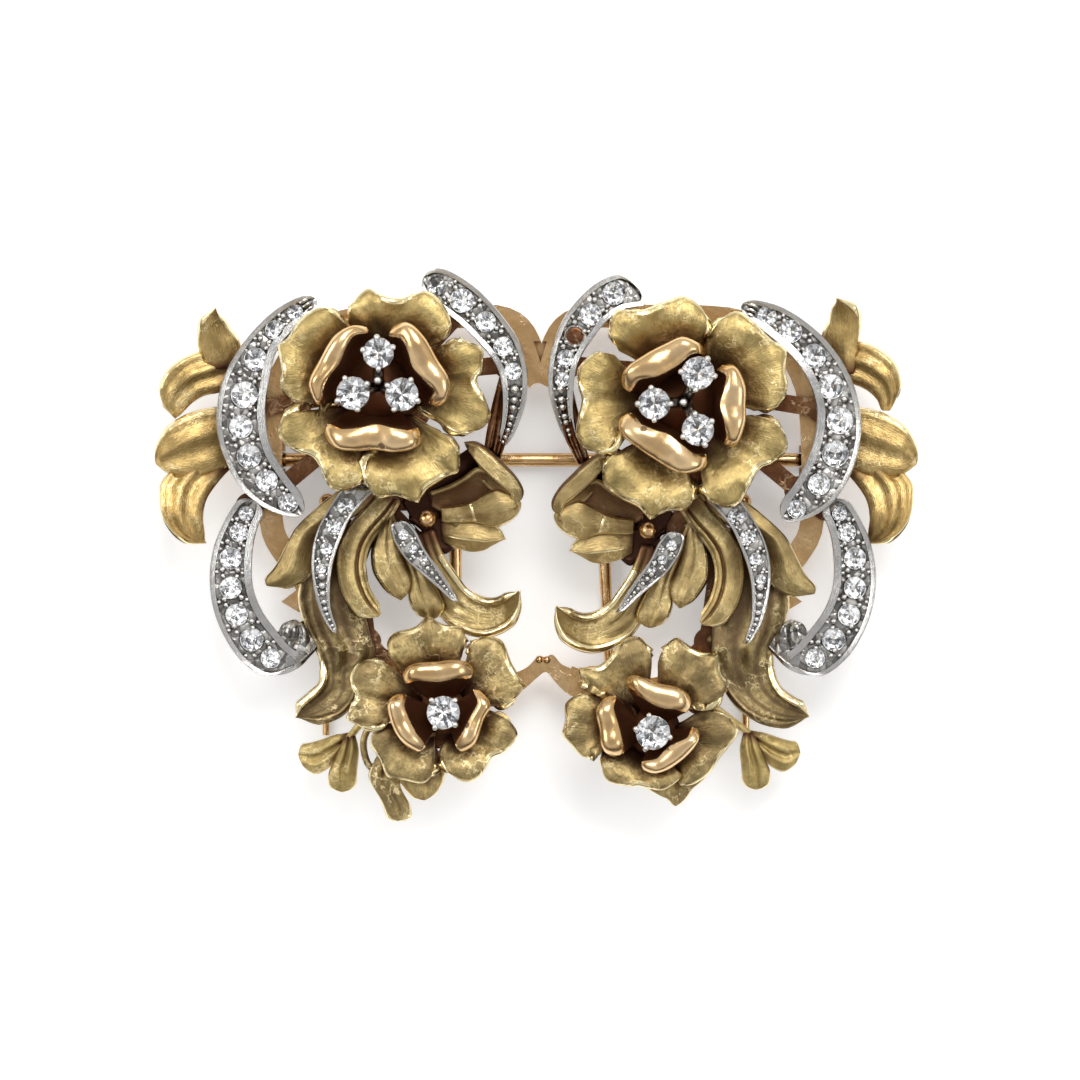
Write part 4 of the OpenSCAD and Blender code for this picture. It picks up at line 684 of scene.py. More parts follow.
# Side leaves: two at the far side of each clip
sideLeaves = {
    "thick": 0.7, "upperFoot": (-26.3, 14.9, 5.9), "lowerFoot": (-26.3, 9, 5.8), "lowerShift": (-0.2, 0),
    "curl": {
        "left": [
            (-28, 14.8, -25.4, 15, 6.4, 6.2, 0.5), (-28.9, 16.6, -25.5, 17, 6.8, 6.6, 0.5),
            (-28.8, 17.9, -26.3, 18.1, 7.3, 6.9, 0.3), (-28.3, 19, -26.9, 19, 8, 7.4, 0.1),
            (-27.5, 20.05, -27.2, 19.9, 8.6, 8.3, 0),
        ],
        "right": [
            (-27, 14.4, -24.6, 14.6, 6.4, 6.2, 0.5), (-27.3, 16.8, -24.4, 17.6, 6.8, 6.6, 0.5),
            (-27.4, 18.6, -25, 18.8, 7.3, 6.9, 0.3), (-26.9, 19.9, -25.2, 19.9, 8, 7.4, 0.1),
            (-25.6, 20.9, -25.25, 20.75, 8.6, 8.3, 0),
        ],
    },
    "lobe": {
        "left": [
            (-26.6, 16.6, -25.4, 13.4, 6, 6, 0.4), (-28.8, 16.2, -27.1, 12.8, 6.5, 6.2, 0.5),
            (-30.3, 15.5, -28.4, 12.5, 7, 6.3, 0.5), (-31.5, 14.4, -29.4, 11.9, 7.2, 6.4, 0.4),
            (-32.1, 12.9, -30, 11.3, 7, 6.4, 0.3), (-31.8, 11.7, -30.4, 10.9, 6.6, 6.3, 0.2),
            (-30.95, 10.6, -30.7, 10.6, 6.2, 6.2, 0),
        ],
        "right": [
            (-26.4, 17.2, -24.8, 14.2, 6, 6, 0.4), (-28, 16.9, -26.9, 13.5, 6.5, 6.2, 0.5),
            (-29.4, 16.1, -28, 13, 7, 6.3, 0.5), (-30.4, 15, -28.8, 12.3, 7.2, 6.4, 0.4),
            (-30.85, 13.4, -29.1, 11.7, 7, 6.4, 0.3), (-30.5, 12.2, -29.3, 11.3, 6.6, 6.3, 0.2),
            (-30.1, 11.3, -29.8, 11.2, 6.2, 6.2, 0),
        ],
    },
    "lowerUpper": [
        (-26.2, 11.5, -25.6, 7, 5.9, 5.9, 0.3), (-28.6, 11.2, -27.4, 6, 6.4, 6.2, 0.5),
        (-30.3, 10.5, -29, 5.6, 6.8, 6.4, 0.5), (-31.7, 9.4, -30.6, 5.6, 7, 6.6, 0.4),
        (-32.5, 7.9, -31.6, 6, 6.7, 6.4, 0.3), (-32.65, 6.9, -32.2, 6.4, 6.2, 6.1, 0),
    ],
    "lowerLower": [
        (-29.6, 7.6, -26.2, 6.3, 5.9, 5.8, 0.3), (-31.9, 5.4, -27.4, 4.9, 6.5, 6.2, 0.5),
        (-32.15, 3.9, -28.2, 3.6, 7, 6.5, 0.5), (-31.9, 2.2, -28.45, 2.2, 7.2, 6.7, 0.5),
        (-30.9, 0.8, -28.35, 1.1, 7, 6.3, 0.3), (-29.4, 0.05, -28.3, 0.4, 6.5, 5.9, 0.05),
        (-28.3, -0.1, -28.1, 0.1, 5.9, 5.85, 0),
    ],
}


def makeSideLeaves(side):
    s = sideLeaves
    upper = Shape(side)
    upper.sheet(leafGrid(s["curl"][side], keeled, 1.2, 0.35, tip=(1.5, 0.8)), s["thick"], leafTint)
    upper.sheet(leafGrid(s["lobe"][side], folded, 0.9, 0.45), s["thick"], leafTint)
    upper.foot(*s["upperFoot"])
    upper.build(side + "UpperLeaf", ["side"], "satin_gold", [side + "_upper_side_leaf"])
    lower = Shape(side, s["lowerShift"])
    lower.sheet(leafGrid(s["lowerUpper"], folded, 0.9, 0.4), s["thick"], leafTint)
    lower.sheet(leafGrid(s["lowerLower"], folded, 1.1, 0.45, 16, tip=(1.5, 0.8)), s["thick"], leafTint)
    lower.foot(*s["lowerFoot"])
    lower.build(side + "LowerLeaf", ["side"], "satin_gold", [side + "_lower_side_leaf"])


# Leaves that fan out under the big flower
spray = {
    "thick": 0.7, "shift": (0.5, -0.7), "post": (-13.3, 4), "postTop": 7.1, "postRadius": 0.9,
    "blade": [
        (-15.6, 5.4, -13.6, 4, 7.2, 7.2, 0.3), (-18.3, 3.4, -15.6, 2.4, 7.4, 7.3, 0.3),
        (-20.4, 1.5, -18.4, 0.8, 7.4, 7.2, 0.4), (-21.3, 0, -19.1, -0.8, 7.4, 7.1, 0.4),
        (-22.2, -1.8, -19.4, -2.7, 7.4, 7.1, 0.4), (-23, -2.8, -20.8, -3.7, 7.3, 7.1, 0.3),
        (-23.5, -3.35, -22.6, -3.9, 7.3, 7.2, 0.1),
    ],
    "crescent": [
        (-12.6, 4.9, -12, 3.4, 7.4, 7.4, 0.2), (-14.2, 3.3, -12.7, 2.2, 7.5, 7.4, 0.3),
        (-15.8, 1.6, -13.7, 1, 7.5, 7.4, 0.4), (-16.7, -0.2, -14.5, -0.3, 7.5, 7.4, 0.4),
        (-16.95, -2.2, -14.8, -2.2, 7.5, 7.4, 0.4), (-16.5, -4.3, -14.4, -3.9, 7.6, 7.5, 0.4),
        (-15.4, -5.9, -13.7, -5.2, 7.7, 7.6, 0.3), (-14.1, -6.5, -12.95, -6, 7.9, 7.8, 0.1),
    ],
    "centre": [
        (-13.5, 3.2, -12.7, 3.3, 6.9, 6.9, 0.1), (-13.5, 1.2, -12.2, 1.4, 6.9, 6.9, 0.2),
        (-13.95, -0.7, -11.8, -0.5, 6.9, 6.9, 0.3), (-13.8, -2.4, -11.2, -2, 6.9, 6.9, 0.35),
        (-13, -3.7, -10.8, -3.1, 6.9, 6.9, 0.3), (-12.3, -4.4, -10.95, -4.1, 6.8, 6.8, 0.2),
        (-11.8, -4.9, -11.4, -4.8, 6.7, 6.7, 0),
    ],
    "second": [
        (-13.6, 4, -12.8, 4, 6.7, 6.7, 0.1), (-12.6, 1.2, -11.8, 1.4, 6.55, 6.55, 0.2),
        (-11.7, -0.8, -10.4, -0.6, 6.45, 6.45, 0.3), (-11, -2.8, -9.4, -2.5, 6.45, 6.45, 0.3),
        (-10.95, -4.4, -8.6, -3.9, 6.45, 6.45, 0.3), (-10.6, -5.6, -8, -5.3, 6.45, 6.45, 0.3),
        (-9.9, -6.5, -8.3, -6.5, 6.35, 6.35, 0.1),
    ],
}


def makeSpray(side):
    s = spray
    shape = Shape(side, s["shift"])
    shape.sheet(leafGrid(s["blade"], keeled, 1.9, 0.42, tip=(1.2, 0.7)), s["thick"], leafTint)
    shape.sheet(leafGrid(s["crescent"], cupped, 1.5, 0.6, 22, tip=(1.1, 0.6)), s["thick"], leafTint)
    shape.sheet(leafGrid(s["centre"], veined, 1.3, 0.6), s["thick"], leafTint)
    shape.sheet(leafGrid(s["second"], veined, 1.2, 0.5), s["thick"], leafTint)
    shape.wire([(*s["post"], footing["z"]), (*s["post"], s["postTop"])], s["postRadius"], 16)
    shape.build(side + "LeafSpray", ["inner"], "satin_gold", [side + "_leaf_spray"])


# Scrolls
scrolls = {
    "thick": 0.7, "lowerShift": (0.05, -1.3), "longFootTop": 5.8, "lowerFootTop": 5.7,
    "long": {
        "left": [
            (-17.6, 2.2, -15.8, 1.8, 5.9, 5.9, 0.2), (-19.2, -1.2, -15.2, -1.2, 6.1, 6, 0.2),
            (-20.3, -4.2, -15.2, -4.5, 6.2, 6, 0.2), (-19.9, -6.6, -14.5, -7.4, 6.2, 6, 0.2),
            (-18.8, -9, -14, -9.6, 6.3, 6.1, 0.2), (-18, -10.9, -15.6, -11, 6.5, 6.2, 0),
            (-18.2, -12.2, -15.7, -12.7, 6.8, 6.4, -0.2), (-19.2, -13.2, -16.9, -14.2, 7.2, 6.8, -0.3),
            (-20.1, -14, -18.8, -14.85, 7.6, 7.3, -0.2), (-20.65, -14.65, -20.4, -14.95, 7.9, 7.8, 0),
        ],
        "right": [
            (-17.8, 1.4, -15.9, 1, 5.9, 5.9, 0.2), (-20, -1.6, -15.3, -1.6, 6.1, 6, 0.2),
            (-21.3, -4.6, -15.3, -4.8, 6.2, 6, 0.2), (-21, -6.8, -15, -7.6, 6.2, 6, 0.2),
            (-20.1, -8.9, -15, -9.4, 6.3, 6.1, 0.2), (-19.7, -10.8, -16, -11.8, 6.5, 6.2, 0),
            (-20.3, -12.5, -17.3, -13.6, 6.8, 6.4, -0.2), (-21.4, -13.5, -19.2, -14.8, 7.2, 6.8, -0.3),
            (-22.4, -14.05, -21.4, -15.15, 7.6, 7.3, -0.2), (-23.15, -14.5, -22.9, -14.95, 7.9, 7.8, 0),
        ],
    },
    "lower": [
        (-9.2, 1, -10.8, 0.4, 6.3, 5.9, 0.2), (-8.4, -1.2, -9.9, -2.2, 6.2, 5.6, 0.2),
        (-7.15, -3, -8.9, -4.4, 6.1, 5.6, 0.2), (-6.2, -4.15, -7.9, -6.2, 6, 5.6, 0.2),
        (-5.1, -4.95, -6.2, -7.2, 6.2, 5.9, 0), (-4, -5.2, -4.4, -7.5, 6.6, 6.4, -0.2),
        (-3, -5, -2.7, -6.8, 7.2, 7.2, -0.2), (-2.15, -4.45, -1.75, -5.5, 7.9, 7.9, -0.1),
        (-1.65, -3.95, -1.42, -4.15, 8.5, 8.5, 0),
    ],
    "longFeet": {
        "left": [(-14.9, -8.3), (-15.9, 0.1), (-18.7, -6.9)],
        "right": [(-14.9, -8.3), (-15.9, 0.1), (-19.7, -7.4)],
    },
    "lowerFoot": {"left": (-9.2, -0.6), "right": (-9.2, 0)},
}


def makeScrolls(side):
    s = scrolls
    shape = Shape(side)
    shape.sheet(leafGrid(s["long"][side], folded, 2.8, 0.4, 24, 0.3, (1.3, 0.6)), s["thick"], grooveTint)
    for x, y in s["longFeet"][side]:
        shape.foot(x, y, s["longFootTop"])
    shape.build(side + "LongScroll", ["olive"], "satin_gold", [side + "_long_scroll"])
    shape = Shape(side, s["lowerShift"])
    shape.sheet(leafGrid(s["lower"], veined, 1.6, 0.5, 16, 0.3, (1.3, 0.6)), s["thick"], leafTint)
    shape.foot(*s["lowerFoot"][side], s["lowerFootTop"])
    shape.build(side + "LowerScroll", ["inner"], "satin_gold", [side + "_lower_scroll"])


# Bell flower between the clips
bell = {
    "thick": 0.6, "shift": (0, -1.0), "bead": (-9.4, 2.05, 7.9), "beadRadius": 0.75, "inner": 0.4,
    "wire": [(-9.4, 2.05, 7.9), (-8.9, 2.3, 6.9), (-8.4, 2.4, 5.8)],
    "post": [(-6.8, 1.9, 5.5), (-6.8, 1.9, 6.5)], "foot": (-5.4, 4.2, 5.7),
    "lip": [
        (-6.25, 8.6, -6.1, 8.15, 8.3, 8.2, 0.1), (-5.2, 8.65, -5.5, 7.3, 8.5, 8.5, 0.25),
        (-4.05, 7.95, -4.35, 6.05, 8.5, 8.5, 0.3), (-2.95, 6.9, -3.15, 5.05, 8.5, 8.5, 0.3),
        (-1.85, 5.75, -2.15, 4.3, 8.4, 8.4, 0.28), (-1.2, 4.6, -1.95, 3.7, 8.2, 8.2, 0.2),
        (-1.25, 3.7, -2.0, 3.2, 8.0, 8.1, 0.1),
    ],
    "fold": [
        (-4.95, 6.5, -4.75, 5.8, 8.3, 7.7, -0.1), (-4.3, 6.1, -4.1, 4.7, 8.5, 7.6, -0.15),
        (-3.2, 5.2, -3.1, 4.0, 8.5, 7.9, -0.15), (-2.2, 4.4, -2.2, 3.2, 8.4, 8.1, -0.1),
        (-1.95, 3.6, -1.8, 3.0, 8.3, 8.2, 0),
    ],
    "front": [
        (-8.2, 2.9, -8.15, 1.85, 6.6, 6.5, 0.15), (-6.9, 3.05, -6.8, 1.85, 6.9, 6.8, 0.2),
        (-5.75, 3.35, -5.35, 1.9, 7.3, 7.1, 0.25), (-4.75, 4.0, -4.1, 1.45, 7.7, 7.3, 0.4),
        (-3.6, 4.5, -2.95, 1.6, 8.0, 7.6, 0.45), (-2.6, 4.2, -2.0, 2.3, 8.1, 7.8, 0.3),
        (-1.9, 3.8, -1.25, 3.5, 8.1, 8.0, 0.1),
    ],
    "wall": [
        (-9.0, 4.1, -8.9, 3.2, 6.7, 6.2, -0.1), (-8.2, 4.4, -8.15, 2.75, 7.0, 6.1, -0.2),
        (-7.2, 4.8, -6.85, 2.8, 7.4, 6.2, -0.3), (-6.1, 5.45, -5.7, 3.1, 7.8, 6.5, -0.3),
        (-5.15, 6.15, -4.7, 3.8, 8.1, 6.9, -0.2), (-4.5, 6.0, -4.0, 4.4, 8.2, 7.3, 0),
    ],
    "back": [
        (-9.5, 4.6, -8.9, 3.2, 5.9, 5.8, 0), (-8.3, 6.0, -7.6, 3.6, 6.2, 5.8, 0),
        (-6.9, 7.1, -6.2, 4.4, 6.7, 5.9, 0), (-5.9, 7.8, -4.9, 5.4, 7.6, 6.3, 0),
        (-5.2, 7.9, -4.2, 6.0, 8.2, 6.9, 0),
    ],
    # a dark sheet laid round the bead where there is only shade: painted shade
    "shadeSheet": [
        (-11.4, 3.4, -10.7, 2.2, 5.6, 5.6, 0), (-10.4, 4.4, -9.6, 1.0, 5.7, 5.7, 0),
        (-9.2, 4.7, -8.8, 0.1, 5.7, 5.7, 0), (-8.1, 4.3, -8.0, -0.8, 5.7, 5.7, 0),
        (-7.0, 2.6, -7.2, -1.1, 5.7, 5.7, 0),
    ],
    "leaf": [
        (-8.2, 1.75, -8.1, 0.15, 6.0, 5.9, 0.15), (-6.9, 1.95, -7.1, -0.4, 6.4, 6.1, 0.35),
        (-5.3, 2.0, -5.7, -0.75, 6.6, 6.2, 0.45), (-4.1, 1.55, -4.6, -0.65, 6.8, 6.4, 0.35),
        (-3.2, 0.95, -3.7, -0.15, 6.9, 6.6, 0.15), (-2.65, 0.35, -2.75, 0.3, 6.9, 6.9, 0),
    ],
}


def bevelled(v):
    # a rounded outer edge, a crisp crest and a flat facet
    return 1 - (max(0, 0.3 - v) / 0.3) ** 2 - 0.25 * max(0, v - 0.3)


def fluted(v):
    return math.sin(math.pi * v) + 0.12 * math.sin(11 * math.pi * v)


def creased(v):
    return 1 - abs(2 * v - 1)


def lipTint(u, v):
    # a painted highlight along the crest; painted shade on the rounded outer edge and at the root
    return 0.9 if abs(v - 0.3) < 0.03 else -0.75 if v < 0.24 or u < 0.1 else 0.1


def frontTint(u, v):
    # painted shade at the root, and one painted highlight along a crease
    return 0.9 if abs(u - 0.35) < 0.02 else -0.4 if u < 0.33 else -0.1


def ridgeTint(u, v):
    # a painted highlight along the ridge; painted shade at the root
    return 0.9 if abs(v - 0.625) < 0.03 and u > 0.1 else -clamp(0.8 - u * 5)


def wallTint(u, v):
    # a bright top edge, polished wear with a painted highlight; painted shade on the wall inside
    return 1.0 if v < 0.01 else -0.75


def makeBell(side):
    s = bell
    shape = Shape(side, s["shift"])
    shape.sheet(leafGrid(s["lip"], bevelled, 1.7, 0.5, 20, 0, (0.5, 0.5)), s["thick"], lipTint)
    # the fold's inner side darkened as painted shade
    shape.sheet(leafGrid(s["fold"], arched, tip=None), s["inner"], dull(-0.6), 0, -0.3)
    shape.sheet(leafGrid(s["front"], arched, 1.2, 0.45, 16, 0.1, (0.5, 0.5)), s["thick"], frontTint)
    shape.sheet(leafGrid(s["wall"], fluted, tip=None), s["inner"], wallTint, 0, -0.4)
    # the bell's back and the dark sheet by the bead, in the darkened backing finish and full dark tint:
    # painted shade
    shape.sheet(leafGrid(s["back"], arched, tip=None), s["inner"], dull(-1), 2, -1)
    shape.sheet(leafGrid(s["shadeSheet"], arched, tip=(1.2, 0.5)), s["inner"], dull(-1), 2, -1)
    shape.sheet(leafGrid(s["leaf"], creased, 1.5, 0.6, 16, 0, (0.8, 0.7)), s["thick"], ridgeTint)
    # the wire down from the bead in painted shade
    shape.wire(s["wire"], 0.3, 10, 0, -0.9)
    shape.ball(s["bead"], s["beadRadius"], 0.9, 1, 14)
    shape.wire(s["post"], 0.6, 12)
    shape.foot(*s["foot"])
    shape.build(side + "BellFlower", ["inner", "rose", "under"], "satin_gold", [side + "_bell_flower"])


# Bud on its wire stem
bud = {
    "thick": 0.65, "shift": (2.0, 0.2), "wire": 0.32, "footTop": 6.1,
    "back": [
        (-16, -16.2, -16.2, -17.2, 5.4, 5.3, 0.2), (-17.2, -16.3, -16.9, -18.2, 5.5, 5.3, 0.5),
        (-18.4, -16.7, -17.8, -19.2, 5.5, 5.3, 0.6), (-19.4, -17, -18.9, -19.7, 5.5, 5.3, 0.5),
        (-20.1, -17.2, -19.9, -19.1, 5.5, 5.4, 0.3), (-20.4, -17.8, -20.3, -18.4, 5.5, 5.5, 0),
    ],
    "front": [
        (-16.5, -16.6, -15.5, -16.4, 6, 6, 0.3), (-17.2, -18.2, -15.2, -17.6, 6, 6, 0.6),
        (-17.8, -19.6, -15.3, -19, 6, 6, 0.6), (-17.7, -20.6, -15.5, -20.5, 6, 6, 0.3),
        (-17.1, -21.15, -16.2, -21.2, 6, 6, 0),
    ],
    "stem": {
        "left": [(-13.4, -13.5, 6.2), (-14.6, -14.8, 6.1), (-16.2, -16.8, 5.8)],
        "right": [(-12, -13.4, 6.2), (-13.9, -14.8, 6.1), (-16, -16.4, 5.8)],
    },
}


def makeBud(side):
    s = bud
    shape = Shape(side, s["shift"])
    shape.sheet(leafGrid(s["back"], veined, 1.2, 0.5), s["thick"], leafTint)
    shape.sheet(leafGrid(s["front"], veined, 1.2, 0.5), s["thick"], leafTint)
    shape.wire(smoothRows(s["stem"][side], 6), s["wire"])
    shape.foot(*s["stem"][side][0][:2], s["footTop"])
    shape.build(side + "BudSpray", ["satin"], "satin_gold", [side + "_bud_spray"])


# Diamond set ribbons; rows of a ribbon: outer x, outer y, inner x, inner y, rim z
# slots: plain metal, the bright cut bed, collars and grains, an underside darkened as painted shade
ribbonForm = {
    "metal": 0, "bed": 1, "cut": 2, "under": 3, "steps": 18, "across": 12, "firstBed": 6, "crisp": 38,
    "collar": 0.09, "grains": ((0.55, 1, 1), (0.5, -1, 0.9), (0.9, 0.1, 0.75)),
    "rimShare": 0.3, "leastReach": 0.25, "slide": 0.3, "grainSize": (0.15, 0.13),
}


def bedDrop(p, stones, deep):
    # 0 on the bed, the full depth inside a stone's seat
    gap = min(math.dist(p, s[:2]) - s[2] / 2 for s in stones)
    return deep * clamp(-gap * 6 - 0.1)


def ribbonRing(r, spec, stones):
    # walls, a thin crest at both edges, bands that slope in, and the bed with the stones' seats
    outer, inner, z = (r[0], r[1]), (r[2], r[3]), r[4]
    w = math.dist(outer, inner)
    scale = min(1, w / 1.8)
    h = spec["height"]
    first, last = min(spec["outerRim"], w * 0.27), w - min(spec["innerRim"], w * 0.3)
    slope = spec["slope"] * scale
    profile = [(0.25 * scale, -h), (0, -h * 0.5), (0, -0.25 * scale)]
    profile += [(0.05 * scale, 0), (0.16 * scale, -0.01)]
    across = ribbonForm["across"]
    for k in range(across + 1):
        at = mix(first, last, k / across)
        drop = bedDrop(between(outer, inner, at / w), stones, spec["sunk"] - slope * 2.2)
        profile.append((at, -slope * 2.2 - drop))
    profile.insert(5, (first - 0.04 * scale, -slope * 0.7))
    profile.append((last + 0.04 * scale, -slope * 0.5))
    profile += [(w - 0.2 * scale, -0.02), (w - 0.07 * scale, 0), (w, -0.25 * scale), (w, -h * 0.5)]
    profile.append((w - 0.25 * scale, -h))
    return [(*between(outer, inner, s / w), z + dz) for s, dz in profile]


def ribbonBand(shape, rows, spec, stones):
    path = smoothRows(rows, ribbonForm["steps"])
    reach = lengths([rowMiddle(r) for r in path])
    rings = []
    for i, r in enumerate(path):
        # both ends close in a round
        s = max(clamp(1 - reach[i] / spec["ends"][0]), clamp(1 - (reach[-1] - reach[i]) / spec["ends"][1]))
        close = math.sqrt(max(0.0, 1 - s * s)) * 0.94 + 0.06
        a, b = between(r[:2], r[2:4], 0.5 - close / 2), between(r[:2], r[2:4], 0.5 + close / 2)
        rings.append(ribbonRing((*a, *b, r[4] - 0.45 * (1 - close)), spec, stones))
    slots = [ribbonForm["metal"]] * len(rings[0])
    for k in range(ribbonForm["across"]):
        slots[ribbonForm["firstBed"] + k] = ribbonForm["bed"]
    shape.tube(rings[::-1], slots)
    return path


def nearestRow(path, x, y):
    return min(path, key=lambda r: math.dist(rowMiddle(r), (x, y)))


def setStones(shape, path, stones, spec):
    # collars round the stones and grains in the gaps; rows: x, y, width, girdle z
    slot = ribbonForm["cut"]
    least, more = ribbonForm["grainSize"]
    for x, y, d, z in stones:
        collar(shape, x, y, z - 0.01, d / 2, ribbonForm["collar"], spec["sunk"] * 0.8, slot)
    for a, b in zip(stones, stones[1:]):
        middle = Vector(((a[0] + b[0]) / 2, (a[1] + b[1]) / 2))
        size, z = (a[2] + b[2]) / 4, (a[3] + b[3]) / 2
        r = nearestRow(path, *middle)
        w = math.dist(r[:2], r[2:4])
        along = Vector((r[1] - r[3], r[2] - r[0])).normalized()
        for edge, other, rim in ((r[:2], r[2:4], spec["outerRim"]), (r[2:4], r[:2], spec["innerRim"])):
            reach = Vector(between(edge, other, min(rim / w, ribbonForm["rimShare"]))) - middle
            if reach.length < ribbonForm["leastReach"]:
                continue
            for share, slide, fat in ribbonForm["grains"]:
                grain = middle + reach * share + along * slide * size * ribbonForm["slide"]
                shape.ball((*grain, z - 0.02), (least + size * more) * fat, 1.0, slot, 6)


